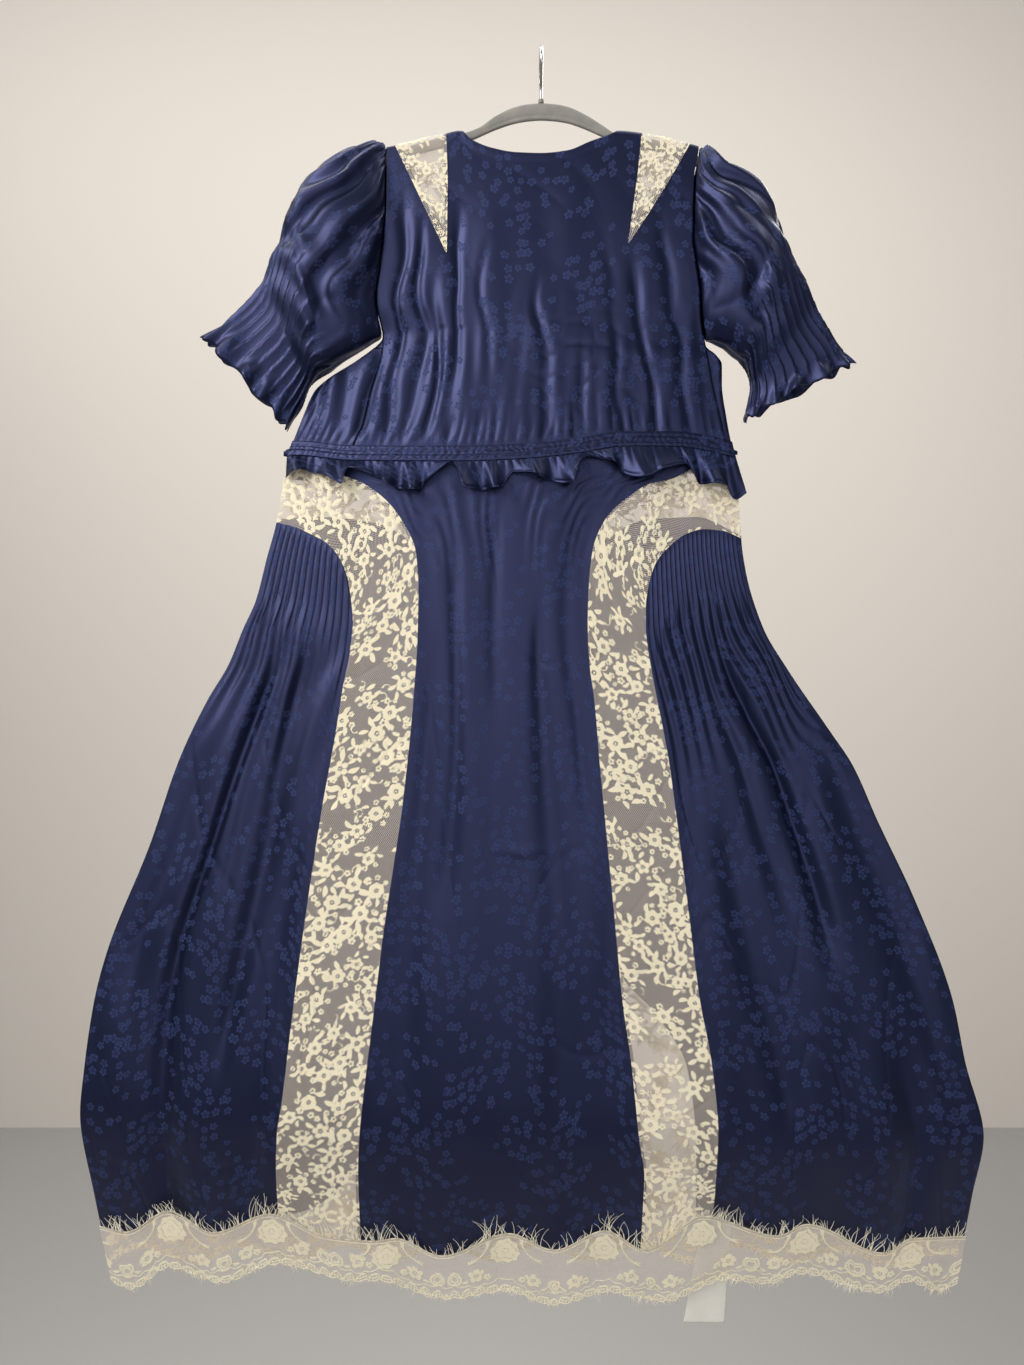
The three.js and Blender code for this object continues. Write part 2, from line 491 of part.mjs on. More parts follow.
const waistAt = (x) => read(WAIST, 'x', x, 'z');
const leftAt = (z) => read(LEFT_EDGE, 'z', z, 'x');
const rightAt = (z) => read(RIGHT_EDGE, 'z', z, 'x');
const nearHemTop = (x) => read(HEM_TOP, 'x', x, 'z');
const farHemTop = (x) => FAR_HEM.mean + FAR_HEM.wave * Math.cos((2 * Math.PI * (x - FAR_HEM.peak)) / FAR_HEM.repeat);

/** Raised gathers that grow towards the waist and end just above the casing. */
function gathered(count) {
  return (u, x, z) => {
    const above = z - waistAt(x);
    const strength = ramp(GATHERS.from, GATHERS.full, above) * ramp(0, GATHERS.to, above - CASING.above);
    return GATHERS.raised * strength * Math.abs(Math.sin(Math.PI * count * u));
  };
}

/** The soft folds of the back bodice, as distance inwards. They fade out above the waist. */
function bodiceFolds(u, x, z) {
  const folds = BODICE_FOLDS.map(
    ({ u: at, depth, from }) => depth * bump(u - at, BODICE_FOLD_WIDTH) * ramp(from, from - 60, z),
  );
  return folds.reduce((sum, depth) => sum + depth, 0) * ramp(-425, -395, z);
}

/** The outer and inner edge of a shoulder inset, as x at a height. */
function insetEdges({ outer, inner, innerLow, tipX, tipZ, bow }) {
  const down = (z, x) => {
    const top = read(SHOULDER_LINE, 'x', x, 'z');
    return clamp((top - z) / (top - tipZ), 0, 1);
  };
  const outwards = Math.sign(outer);
  return {
    outerAt: (z) => lerp(outer, tipX, down(z, outer)) + outwards * bow * Math.sin(Math.PI * down(z, outer)),
    innerAt: (z) => {
      const t = down(z, inner);
      return t < 0.4 ? lerp(inner, innerLow, t / 0.4) : lerp(innerLow, tipX - outwards * 1.2, (t - 0.4) / 0.6);
    },
  };
}

/** A prism that cuts the notch below a shoulder inset, smaller than the inset by the lap. */
function notch(shape) {
  const { outerAt, innerAt } = insetEdges(shape);
  const outwards = Math.sign(shape.outer);
  const low = shape.tipZ + 22;
  const heights = [-60, -110, -140, -165, low];
  const innerSide = heights.map((z) => new THREE.Vector2(innerAt(z) + outwards * LAP, z));
  const outerSide = heights.map((z) => new THREE.Vector2(outerAt(z) - outwards * LAP * 1.5, z));
  const outline = new THREE.Shape([...innerSide, ...outerSide.reverse()]);
  const prism = new THREE.ExtrudeGeometry(outline, { depth: 100, bevelEnabled: false });
  prism.rotateX(Math.PI / 2);
  prism.translate(0, 50, 0);
  return prism;
}

/** A manifold solid of a geometry, from its positions alone. */
function solid(geometry) {
  const bare = geometry.clone();
  bare.deleteAttribute('normal');
  bare.deleteAttribute('uv');
  const merged = mergeVertices(bare, 1e-4);
  return new wasm.Manifold(
    new wasm.Mesh({
      numProp: 3,
      vertProperties: new Float32Array(merged.attributes.position.array),
      triVerts: new Uint32Array(merged.index.array),
    }),
  );
}

/** A geometry of a manifold solid. */
function geometryFrom(body) {
  const { vertProperties, triVerts } = body.getMesh();
  const geometry = new THREE.BufferGeometry();
  geometry.setAttribute('position', new THREE.BufferAttribute(new Float32Array(vertProperties), 3));
  geometry.setIndex(new THREE.BufferAttribute(new Uint32Array(triVerts), 1));
  return geometry;
}

/** One side of the bodice, with a notch cut for each shoulder inset. */
function bodice({ side, neck, left, right, gathers, folds, columnsX }) {
  const top = (u) => {
    const x = lerp(left(-95), right(-95), u);
    return x <= NECK.left || x >= NECK.right ? read(SHOULDER_LINE, 'x', x, 'z') : read(neck, 'x', x, 'z');
  };
  const bottom = edgeLine(left, right, (x) => waistAt(x) + WAIST_GAP.above);
  const columns = columnsX.map((x) => (x - columnsX[0]) / (columnsX[columnsX.length - 1] - columnsX[0]));
  const shoulder = SHOULDER.rows.map((drop) => (u) => top(u) - drop);
  const parts = [UNDERARM, ...SIDE_LEVELS].map((z) => (top(0) - z) / (top(0) - bottom(0)));
  const middle = linesBetween(top, bottom, [0.12, 0.26, 0.4, 0.53, ...parts.slice(0, -1)]);
  const [low, end] = linesBetween(top, bottom, [parts[parts.length - 1], 1]);
  const geometry = panel({
    side,
    left,
    right,
    fold: folds,
    raise: gathered(gathers),
    outer: [...rowsWith([...shoulder, ...middle], columns), ...rowsWith([low, end], steps(gathers * 2))],
    inner: rowsWith([...shoulder, ...middle, low, end], columns),
  });
  const notches = [notch(INSETS.left), notch(INSETS.right)].map(solid);
  return geometryFrom(notches.reduce((body, cut) => body.subtract(cut), solid(geometry)));
}

/** A triangular lace inset, lapped over the satin round its notch. */
function inset(side, shape) {
  const { outerAt, innerAt } = insetEdges(shape);
  const [left, right] = shape.outer < 0 ? [outerAt, innerAt] : [innerAt, outerAt];
  const top = edgeLine(left, right, (x) => read(SHOULDER_LINE, 'x', x, 'z'));
  const shoulder = SHOULDER.rows.slice(1).map((drop) => (u) => top(u) - drop);
  const rest = linesBetween(top, () => shape.tipZ, [0.2, 0.45, 0.7, 1]);
  return panel({
    side,
    left,
    right,
    lift: LAYER_GAP * 1.5,
    thick: LACE,
    outer: [...rowsWith(shoulder, steps(4)), ...rowsWith(rest, steps(2))],
    inner: [...rowsWith(shoulder, steps(4)), ...rowsWith(rest, steps(1))],
  });
}

/** The left side of the bodice, between the dress's outline and the deep fold. */
function bodiceSide() {
  const left = (z) => leftAt(z) + SEAM;
  const right = (z) => read(SIDE_FOLD, 'z', z, 'x') - SEAM;
  const bottom = edgeLine(left, right, (x) => waistAt(x) + WAIST_GAP.above);
  const lines = [...levelLines(SIDE_LEVELS), bottom];
  return panel({
    side: NEAR,
    left,
    right,
    raise: gathered(6),
    outer: [...rowsWith(lines.slice(0, 3), steps(6)), ...rowsWith(lines.slice(3), steps(12))],
    inner: rowsWith(lines, steps(4)),
  });
}

/** The waist casing of one side: a gathered strip over the seam of bodice and skirt. */
function casing(side) {
  const top = edgeLine(leftAt, rightAt, (x) => waistAt(x) + CASING.above);
  const bottom = edgeLine(leftAt, rightAt, (x) => waistAt(x) - CASING.below);
  const [middle] = linesBetween(top, bottom, [0.5]);
  const count = CASING.gathers;
  const down = (x, z) => clamp((waistAt(x) + CASING.above - z) / (CASING.above + CASING.below), 0, 1);
  const ridges = (u, x, z) => CASING.raised * Math.abs(Math.sin(Math.PI * count * u)) * Math.sin(Math.PI * down(x, z));
  return panel({
    side,
    left: leftAt,
    right: rightAt,
    raise: ridges,
    fold: (u, x, z) => (OVER_LACE - CASING.closed) * (1 - Math.min(1, 2 * down(x, z))),
    lift: OVER_LACE,
    thick: CASING.thick,
    outer: [
      { line: top, columns: steps(count) }, { line: middle, columns: steps(count * 2) },
      { line: bottom, columns: steps(count) },
    ],
    inner: rowsWith([top, middle, bottom], steps(count)),
  });
}

/** The waist ruffle of one side. Its waves grow from the casing to its lower edge. */
function ruffle(side, waves, lowerEdge) {
  const top = edgeLine(leftAt, rightAt, (x) => waistAt(x) - CASING.below - SEAM);
  const [first, last] = [RUFFLE_EDGE[0].x, RUFFLE_EDGE[RUFFLE_EDGE.length - 1].x];
  const point = (u, v, extra) => {
    const topX = lerp(leftAt(top(u)), rightAt(top(u)), u);
    const lowX = lerp(first, last, u);
    const x = lerp(topX, lowX, v);
    const z = lerp(top(u), lowerEdge(lowX), v);
    const wave = RUFFLE.wave * v * (1 - Math.cos(2 * Math.PI * waves * u));
    const lifted = OVER_LACE + extra + wave + RUFFLE.overhang * v;
    return { u, v, point: new THREE.Vector3(x, faceY(side, x, z, lifted), z) };
  };
  const face = (extra) => [
    steps(CASING.gathers).map((u) => point(u, 0, extra)),
    steps(waves * 4).map((u) => point(u, 0.5, extra)),
    steps(waves * 4).map((u) => point(u, 1, extra)),
  ];
  return wall(face(RUFFLE.thick), face(0));
}

/** Soft folds of a skirt panel, as distance inwards. They fade out at the panel's edges. */
function hangingFolds(folds) {
  return (u, x, z) => {
    const depths = folds.map(
      ({ u: at, depth, from, to }) =>
        depth * bump(u - at, SKIRT_FOLD_WIDTH) * ramp(from, from - 90, z) * ramp(to - 40, to + 60, z),
    );
    return depths.reduce((sum, depth) => sum + depth, 0) * ramp(0, 0.12, u) * ramp(1, 0.88, u);
  };
}

/** Raised pin-tucks that run down from a side panel's top edge and then open. */
function tucked({ count, raised, hold, open }, top) {
  return (u, x, z) => {
    const below = top(u) - z;
    const clear = ramp(0, 8, below - LAP) * ramp(0.04, 0.1, u) * ramp(0.96, 0.9, u);
    return raised * ramp(open, hold, below) * clear * Math.abs(Math.sin(Math.PI * count * u));
  };
}

/** A pin-tucked side panel of the skirt, from the lace arch down to the hem. */
function sidePanel({ side, name, left, right, hemTop }) {
  const tucks = TUCKS[name];
  const top = (u) => read(TUCKED_TOPS[name], 'u', u, 'z');
  const bottom = edgeLine(left, right, (x) => hemTop(x) - LAP);
  const fromTop = (parts) => linesBetween(top, () => SKIRT_LEVELS[0], parts);
  const columns = SKIRT_COLUMNS[name];
  const lower = [...levelLines(SKIRT_LEVELS), bottom];
  return panel({
    side,
    left,
    right,
    fold: hangingFolds(SKIRT_FOLDS[name]),
    raise: tucked(tucks, top),
    outer: [
      ...rowsWith(fromTop([0, 0.02, 0.06, 0.29]), steps(tucks.count * 2)),
      ...rowsWith([...fromTop([0.5, 0.75]), ...lower], columns),
    ],
    inner: rowsWith([...fromTop([0, 0.2, 0.5, 0.75]), ...lower], columns),
  });
}

/** The centre panel of the skirt, between the two lace bands. */
function centrePanel({ side, name, leftBand, rightBand, hemTop }) {
  const left = (z) => read(leftBand, 'outZ', z, 'outX') - LAP;
  const right = (z) => read(rightBand, 'outZ', z, 'outX') + LAP;
  const top = edgeLine(left, right, (x) => waistAt(x) - WAIST_GAP.below);
  const bottom = edgeLine(left, right, (x) => hemTop(x) - LAP);
  const upper = linesBetween(top, () => SKIRT_LEVELS[0], [0, 0.03, 0.06, 0.1, 0.16, 0.24, 0.36, 0.52, 0.74]);
  const lower = [...levelLines(SKIRT_LEVELS), bottom];
  return panel({
    side,
    left,
    right,
    fold: hangingFolds(SKIRT_FOLDS[name]),
    outer: rowsWith([...upper, ...lower], SKIRT_COLUMNS[name]),
    inner: rowsWith([...upper.filter((_, i) => i % 2 === 0), ...lower], SKIRT_COLUMNS[name]),
  });
}

/** A lace band lapped over the satin on both edges: its curved crossings, then level ones, then the hem line. */
function band(side, rows, hemTop) {
  const curved = rows.filter(({ outZ }) => outZ > SKIRT_LEVELS[0] + 20);
  const level = SKIRT_LEVELS.map((z) => ({
    outX: read(rows, 'outZ', z, 'outX'), outZ: z, inX: read(rows, 'inZ', z, 'inX'), inZ: z,
  }));
  const last = rows[rows.length - 1];
  const crossings = [...curved, ...level, last];
  const face = (columns, lifted) =>
    crossings.map((row, v) =>
      columns.map((u) => {
        const x = lerp(row.outX, row.inX, u);
        const z = row === last ? hemTop(x) - LAP : lerp(row.outZ, row.inZ, u);
        return { u, v, point: new THREE.Vector3(x, faceY(side, x, z, lifted), z) };
      }),
    );
  return wall(face(steps(2), LAYER_GAP + LACE), face(steps(2), LAYER_GAP));
}

/** The scalloped hem lace of one side. Its bottom edge hangs in small lobes. */
function hemLace(side, hemTop, hemBottom, lobes) {
  const top = edgeLine(leftAt, rightAt, hemTop);
  const bottom = edgeLine(leftAt, rightAt, hemBottom);
  const lobed = (u) => bottom(u) - LOBE.deep * Math.abs(Math.sin(Math.PI * lobes * u));
  const [middle] = linesBetween(top, bottom, [0.5]);
  const upper = rowsWith([top, middle], steps(40));
  const rows = [...upper, { line: lobed, columns: steps(lobes * 2) }];
  return panel({
    side, left: leftAt, right: rightAt, lift: OVER_LACE, thick: LACE, outer: rows, inner: [rows[0], rows[2]],
  });
}

/** Eyelash fringe: a narrow strip with strands that taper from their roots. up is 1 for strands that rise. */
function eyelashes({ side, edge, up, count, long, lift }) {
  const [from, to] = [leftAt(-1265) + 4, rightAt(-1265) - 4];
  const half = EYELASH.strip / 2;
  const points = [];
  const triangles = [];
  const add = (x, z) => {
    for (const lifted of [lift + EYELASH.thick, lift]) {
      points.push(new THREE.Vector3(x, faceY(side, x, z, lifted), z));
    }
    return points.length - 2;
  };
  const edgeRow = [];
  const rootRow = [];
  const outline = [];
  for (let i = 0; i < count; i += 1) {
    const x = lerp(from, to, (i + 0.5) / count);
    const z = edge(x);
    const length = long * (0.8 + 0.2 * Math.sin(i * 1.7));
    edgeRow.push({ id: add(x, z - up * half), u: i });
    const before = add(x - EYELASH.root / 2, z + up * half);
    const tip = add(x + 0.3 * length * Math.sin(i * 2.4), z + up * (half + length));
    const after = add(x + EYELASH.root / 2, z + up * half);
    rootRow.push({ id: before, u: i - 0.1 }, { id: after, u: i + 0.1 });
    outline.push(before, tip, after);
    triangles.push(before, tip, after);
  }
  zip(edgeRow, rootRow, triangles);
  const front = [...triangles];
  for (let i = 0; i < front.length; i += 3) triangles.push(front[i] + 1, front[i + 2] + 1, front[i + 1] + 1);
  outline.push(...edgeRow.map(({ id }) => id).reverse());
  outline.forEach((id, i) => {
    const next = outline[(i + 1) % outline.length];
    triangles.push(next, id, id + 1, next, id + 1, next + 1);
  });
  return geometryOf(points, triangles);
}

/** The blank care label, which hangs behind the near hem lace. */
function careLabel() {
  const { top, bottom, thick, behind } = CARE_LABEL;
  const face = (lifted) =>
    steps(3).map((v) =>
      steps(2).map((u) => {
        const x = lerp(lerp(top.left, top.right, u), lerp(bottom.left, bottom.right, u), v);
        const z = lerp(top.z, bottom.z, v);
        return { u, v, point: new THREE.Vector3(x, faceY(NEAR, x, z, lifted), z) };
      }),
    );
  return wall(face(-SATIN - behind), face(-SATIN - behind - thick));
}

/** A puff sleeve: gathered at the cap, pin-tucked towards the cuff, and flared at its edge. */
function sleeve(rings, armholeAt, gap) {
  const last = rings.length - 1;
  const outwards = Math.sign(rings[0].outX);
  const point = (ring, u, isOuter) => {
    const { outX, outZ, inX, inZ, depth } = rings[ring];
    const angle = 2 * Math.PI * u;
    const along = Math.cos(angle);
    const boxy = ring === 0 ? SLEEVE.boxy - 0.15 : SLEEVE.boxy;
    const bulge = Math.sign(Math.sin(angle)) * Math.abs(Math.sin(angle)) ** boxy;
    const reach = new THREE.Vector3((outX - inX) / 2, 0, (outZ - inZ) / 2);
    const half = reach.length();
    const axis = reach.normalize();
    const normal = new THREE.Vector2(along / half, bulge / depth).normalize();
    const gathers = ring === 0 ? 0 : SLEEVE.gather * ramp(5, 1, ring) * (1 + Math.cos(angle * SLEEVE.gathers)) * 0.5;
    const soft = Math.sin(Math.PI * Math.min(ring / 6, 1)) * Math.cos(SLEEVE.folds * angle + ring * 0.5);
    const tucks = SLEEVE.raised * ramp(SLEEVE.tuckRing - 1, SLEEVE.tuckRing + 1, ring);
    const raised = isOuter ? tucks * Math.abs(Math.sin(SLEEVE.tucks * angle * 0.5)) : -SATIN;
    const clear = 1 - SLEEVE.clear * ramp(-0.3, -0.8, along);
    const out = (gathers + SLEEVE.fold * soft) * clear + raised - SLEEVE.raised;
    const place = new THREE.Vector3((outX + inX) / 2, 0, (outZ + inZ) / 2)
      .addScaledVector(axis, along * half + normal.x * out)
      .add(new THREE.Vector3(0, bulge * depth + normal.y * out, 0));
    const hug = SLEEVE.hug[ring] ?? 0;
    place.x = lerp(place.x, armholeAt(place.z) + outwards * gap, hug);
    return { u, v: ring, point: place };
  };
  const face = (columnsOf, isOuter) =>
    rings.map((_, ring) => steps(columnsOf(ring)).slice(0, -1).map((u) => point(ring, u, isOuter)));
  const outer = face((ring) => (ring < SLEEVE.tuckRing ? SLEEVE.columns : SLEEVE.tucks * 2), true);
  return tubeWall(outer, face(() => SLEEVE.columns, false));
}

/** The hanger's body: an arch with two arms, of a flat rounded section. */
function hangerBody() {
  const rings = HANGER.map(({ x, top, tall }, v) => {
    const half = tall / 2;
    return steps(8).slice(0, -1).map((u) => {
      const angle = 2 * Math.PI * u;
      const y = HANGER_HALF * Math.sign(Math.cos(angle)) * Math.abs(Math.cos(angle)) ** 0.6;
      return { u, v, point: new THREE.Vector3(x, y, top - half + half * Math.sin(angle)) };
    });
  });
  return rod(rings);
}

/** The hook: a straight stem, a swing to the near side, and a bend over the rail that opens on the far side. */
function hook() {
  const radius = HOOK.bend + HOOK.wire;
  const centre = HOOK.wire - radius;
  const stem = [new THREE.Vector3(0, 0, HOOK.stemBottom), new THREE.Vector3(0, 0, HOOK.stemBottom + 7)];
  const swing = new THREE.Vector3(0, -radius * 0.6, centre - 12);
  const bend = [10, 30, 50, 70, 90, 110, 130, 150, 170, 190, 205].map((degrees) => {
    const angle = THREE.MathUtils.degToRad(degrees);
    return new THREE.Vector3(0, -radius * Math.cos(angle), centre + radius * Math.sin(angle));
  });
  const path = new THREE.CatmullRomCurve3([...stem, swing, ...bend], false, 'centripetal');
  const section = new THREE.Shape();
  section.absarc(0, 0, HOOK.wire, 0, 2 * Math.PI);
  return new THREE.ExtrudeGeometry(section, { steps: 22, curveSegments: 4, bevelEnabled: false, extrudePath: path });
}

/** The collar between the hanger's top and the hook's stem. */
function collar() {
  const top = HOOK.stemBottom - SEAM;
  const bottom = read(HANGER, 'x', 0, 'top') + SEAM;
  const profile = [[HOOK.collarRadius, bottom], [HOOK.collarRadius, top - 1], [HOOK.collarRadius - 0.8, top]];
  return rod(
    profile.map(([radius, z], v) =>
      steps(12).slice(0, -1).map((u) => {
        const angle = 2 * Math.PI * u;
        return { u, v, point: new THREE.Vector3(radius * Math.cos(angle), radius * Math.sin(angle), z) };
      }),
    ),
  );
}

const MATERIALS = {
  satin: new THREE.MeshStandardMaterial({ name: 'satin', color: 0x2a3052, roughness: 0.42, metalness: 0 }),
  lace: new THREE.MeshStandardMaterial({ name: 'lace', color: 0xf3ead0, roughness: 0.8, metalness: 0 }),
  hanger: new THREE.MeshStandardMaterial({ name: 'hanger', color: 0x96918a, roughness: 0.55, metalness: 0 }),
  steel: new THREE.MeshStandardMaterial({ name: 'steel', color: 0xc9c9c6, roughness: 0.25, metalness: 1 }),
  label: new THREE.MeshStandardMaterial({ name: 'label', color: 0xe9e6dc, roughness: 0.6, metalness: 0 }),
};

const dress = new THREE.Group();
function add(name, geometry, material) {
  const mesh = new THREE.Mesh(geometry, MATERIALS[material].clone());
  mesh.name = name;
  dress.add(mesh);
}

const backBodice = {
  side: NEAR,
  neck: BACK_NECK,
  left: (z) => (z > SIDE_FOLD[0].z ? leftAt(z) : read(SIDE_FOLD, 'z', z, 'x') + SEAM),
  right: (z) => read(BACK_RIGHT, 'z', z, 'x'),
  gathers: GATHERS.near,
  folds: bodiceFolds,
  columnsX: BACK_COLUMNS,
};
const frontBodice = {
  side: FAR,
  neck: FRONT_NECK,
  left: leftAt,
  right: rightAt,
  gathers: GATHERS.far,
  folds: none,
  columnsX: FRONT_COLUMNS,
};
add('bodice_back', bodice(backBodice), 'satin');
add('bodice_left_side', bodiceSide(), 'satin');
add('bodice_front', bodice(frontBodice), 'satin');
for (const [name, shape] of Object.entries(INSETS)) {
  add(`inset_back_${name}`, inset(NEAR, shape), 'lace');
  add(`inset_front_${name}`, inset(FAR, shape), 'lace');
}
add('sleeve_left', sleeve(LEFT_SLEEVE, leftAt, 1), 'satin');
add('sleeve_right', sleeve(RIGHT_SLEEVE, rightAt, 1.9), 'satin');
add('casing_back', casing(NEAR), 'satin');
add('casing_front', casing(FAR), 'satin');
add('ruffle_back', ruffle(NEAR, RUFFLE.near, (x) => read(RUFFLE_EDGE, 'x', x, 'z')), 'satin');
add('ruffle_front', ruffle(FAR, RUFFLE.far, (x) => waistAt(x) - RUFFLE.farDrop), 'satin');

/** The side panel's boundary under a lace band: its lower run, continued straight up past the arch. */
function underBand(rows, archRow, lap) {
  const lower = rows.slice(archRow);
  return (z) => read(lower, 'inZ', Math.min(z, lower[0].inZ), 'inX') + lap;
}
const nearSkirt = { side: NEAR, hemTop: nearHemTop, leftBand: NEAR_LEFT_BAND, rightBand: NEAR_RIGHT_BAND };
const farSkirt = { side: FAR, hemTop: farHemTop, leftBand: FAR_LEFT_BAND, rightBand: FAR_RIGHT_BAND };
add('skirt_back_centre', centrePanel({ ...nearSkirt, name: 'nearCentre' }), 'satin');
add('skirt_front_centre', centrePanel({ ...farSkirt, name: 'farCentre' }), 'satin');
const underNearLeft = underBand(NEAR_LEFT_BAND, 7, LAP);
const underNearRight = underBand(NEAR_RIGHT_BAND, 8, -LAP);
const underFarLeft = underBand(FAR_LEFT_BAND, 6, LAP);
const underFarRight = underBand(FAR_RIGHT_BAND, 6, -LAP);
add('skirt_back_left', sidePanel({ ...nearSkirt, name: 'nearLeft', left: leftAt, right: underNearLeft }), 'satin');
add('skirt_back_right', sidePanel({ ...nearSkirt, name: 'nearRight', left: underNearRight, right: rightAt }), 'satin');
add('skirt_front_left', sidePanel({ ...farSkirt, name: 'farLeft', left: leftAt, right: underFarLeft }), 'satin');
add('skirt_front_right', sidePanel({ ...farSkirt, name: 'farRight', left: underFarRight, right: rightAt }), 'satin');
add('lace_band_back_left', band(NEAR, NEAR_LEFT_BAND, nearHemTop), 'lace');
add('lace_band_back_right', band(NEAR, NEAR_RIGHT_BAND, nearHemTop), 'lace');
add('lace_band_front_left', band(FAR, FAR_LEFT_BAND, farHemTop), 'lace');
add('lace_band_front_right', band(FAR, FAR_RIGHT_BAND, farHemTop), 'lace');

const nearHemBottom = (x) => read(HEM_BOTTOM, 'x', x, 'z');
const farHemBottom = (x) => farHemTop(x) - FAR_HEM.tall;
add('hem_lace_back', hemLace(NEAR, nearHemTop, nearHemBottom, LOBE.near), 'lace');
add('hem_lace_front', hemLace(FAR, farHemTop, farHemBottom, LOBE.far), 'lace');
const overHem = OVER_LACE + LACE + LAYER_GAP;
const underHem = OVER_LACE - LAYER_GAP - EYELASH.thick;
for (const [side, word, hemTop, hemBottom] of [
  [NEAR, 'back', nearHemTop, nearHemBottom],
  [FAR, 'front', farHemTop, farHemBottom],
]) {
  const top = { side, edge: hemTop, up: 1, lift: overHem, ...EYELASH[`${side.name}Top`] };
  const bottom = { side, edge: hemBottom, up: -1, lift: underHem, ...EYELASH[`${side.name}Bottom`] };
  add(`eyelashes_top_${word}`, eyelashes(top), 'lace');
  add(`eyelashes_bottom_${word}`, eyelashes(bottom), 'lace');
}
add('care_label', careLabel(), 'label');
add('hanger_body', hangerBody(), 'hanger');
add('hanger_collar', collar(), 'hanger');
add('hanger_hook', hook(), 'steel');

export default dress;
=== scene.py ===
"""A puff sleeve midi dress on a hanger, dressed round its fixed CAD frame. Lengths inside are millimetres."""

import bpy
import numpy as np
from bpy.props import FloatProperty, FloatVectorProperty, IntProperty, PointerProperty
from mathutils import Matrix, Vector


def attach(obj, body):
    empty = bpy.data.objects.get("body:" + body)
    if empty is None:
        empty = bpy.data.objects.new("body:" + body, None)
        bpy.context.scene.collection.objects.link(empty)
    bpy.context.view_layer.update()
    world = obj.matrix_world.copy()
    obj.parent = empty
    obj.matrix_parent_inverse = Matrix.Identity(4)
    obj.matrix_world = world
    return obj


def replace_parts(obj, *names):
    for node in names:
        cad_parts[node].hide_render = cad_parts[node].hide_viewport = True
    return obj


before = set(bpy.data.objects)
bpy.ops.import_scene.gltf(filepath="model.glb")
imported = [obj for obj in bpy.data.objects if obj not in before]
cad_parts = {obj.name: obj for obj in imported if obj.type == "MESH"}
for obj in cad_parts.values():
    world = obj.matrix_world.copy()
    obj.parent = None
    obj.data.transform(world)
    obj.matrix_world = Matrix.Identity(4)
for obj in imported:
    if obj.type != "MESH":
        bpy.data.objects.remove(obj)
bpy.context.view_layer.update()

bl_info = {
    "name": "Puff sleeve midi dress",
    "version": (1, 0, 0),
    "blender": (4, 5, 0),
    "location": "3D View > Sidebar > Dress",
    "description": "Builds a satin dress with lace bands, hanging on a hanger",
    "category": "Object",
}

NEAR, FAR = -1, 1  # the side that faces the viewer and the hidden side, as the sign of y
SIDES = {NEAR: "back", FAR: "front"}

# Heights of the cloth layers over the satin's outer face, as in the solids
SATIN, SLIT = 1.4, 0.2
LAYER_GAP = 0.6
OVER_LACE = 2.3
SEAM = 0.4
LAP = 3.0
# Thickness of the cloth as it shows: the satin, and the softer sleeves, the doubled casing and the tape
CLOTH, SLEEVE_CLOTH, CASING_CLOTH, TAPE = 0.8, 0.7, 0.9, 0.45

# Outline of the dress: z, x, from the shoulder down the armhole, the bodice and the skirt
LEFT_EDGE = np.array([
    (-85, -163), (-161, -163), (-223, -168), (-266, -174), (-303, -168), (-312, -175), (-328, -196),
    (-347, -226), (-360, -240), (-384, -251), (-434, -269), (-499, -280), (-536, -290),
    (-582, -302), (-611, -315), (-650, -331), (-687, -353), (-750, -383), (-840, -414),
    (-952, -459), (-1005, -473), (-1078, -484), (-1140, -490), (-1221, -485), (-1350, -477),
], float)
RIGHT_EDGE = np.array([
    (-85, 167), (-106, 166), (-135, 161), (-201, 159), (-252, 166), (-278, 168), (-312, 175),
    (-320, 185), (-331, 192), (-351, 192), (-389, 197), (-420, 203), (-459, 211), (-515, 212),
    (-552, 217), (-610, 235), (-656, 262), (-720, 306), (-756, 330), (-814, 356), (-899, 396),
    (-1005, 436), (-1069, 449), (-1155, 470), (-1219, 465), (-1350, 461),
], float)
# Half depth of the flat hollow: z, near side, far side
DEPTHS = np.array([
    (-85, 6, 6), (-150, 10, 9), (-230, 13, 11), (-330, 17, 14), (-470, 17, 14), (-560, 19, 15),
    (-800, 21, 16), (-1100, 19, 15), (-1270, 15, 12), (-1350, 12, 10),
], float)
# Half depth at the armholes: z, open
ARMHOLE = np.array([
    (-85, 4.8), (-104, 4.8), (-150, 8), (-220, 10), (-270, 7), (-302, 0.4), (-312, 0), (-1400, 0),
], float)
# Shoulder seams: x, z
SHOULDER_LINE = np.array([
    (-170, -103), (-163, -102), (-101, -88), (-86, -85), (82, -85), (103, -87), (159, -99),
    (170, -102),
], float)
# Neck edges: x, z
BACK_NECK = np.array([
    (-84, -86), (-73, -97), (-52, -106), (-26, -111), (0, -112), (28, -109), (52, -99), (75, -90),
    (81, -86),
], float)
FRONT_NECK = np.array([
    (-84, -86), (-80, -112), (-66, -136), (-36, -152), (0, -157), (34, -152), (63, -136),
    (77, -112), (81, -86),
], float)
# Fold line beside the back bodice: z, x
SIDE_FOLD = np.array([
    (-296, -167), (-321, -169), (-362, -180), (-396, -188), (-421, -198), (-450, -208),
], float)
# Right edge of the back bodice: z, x
BACK_RIGHT = np.array([
    (-85, 167), (-106, 166), (-135, 161), (-201, 159), (-252, 166), (-278, 168), (-310, 174),
    (-354, 182), (-391, 191), (-440, 202),
], float)
# Waist seam: x, z
WAIST = np.array([
    (-275, -421), (-262, -417), (-196, -424), (-83, -426), (-22, -424), (36, -418), (84, -410),
    (142, -409), (198, -417), (212, -422),
], float)
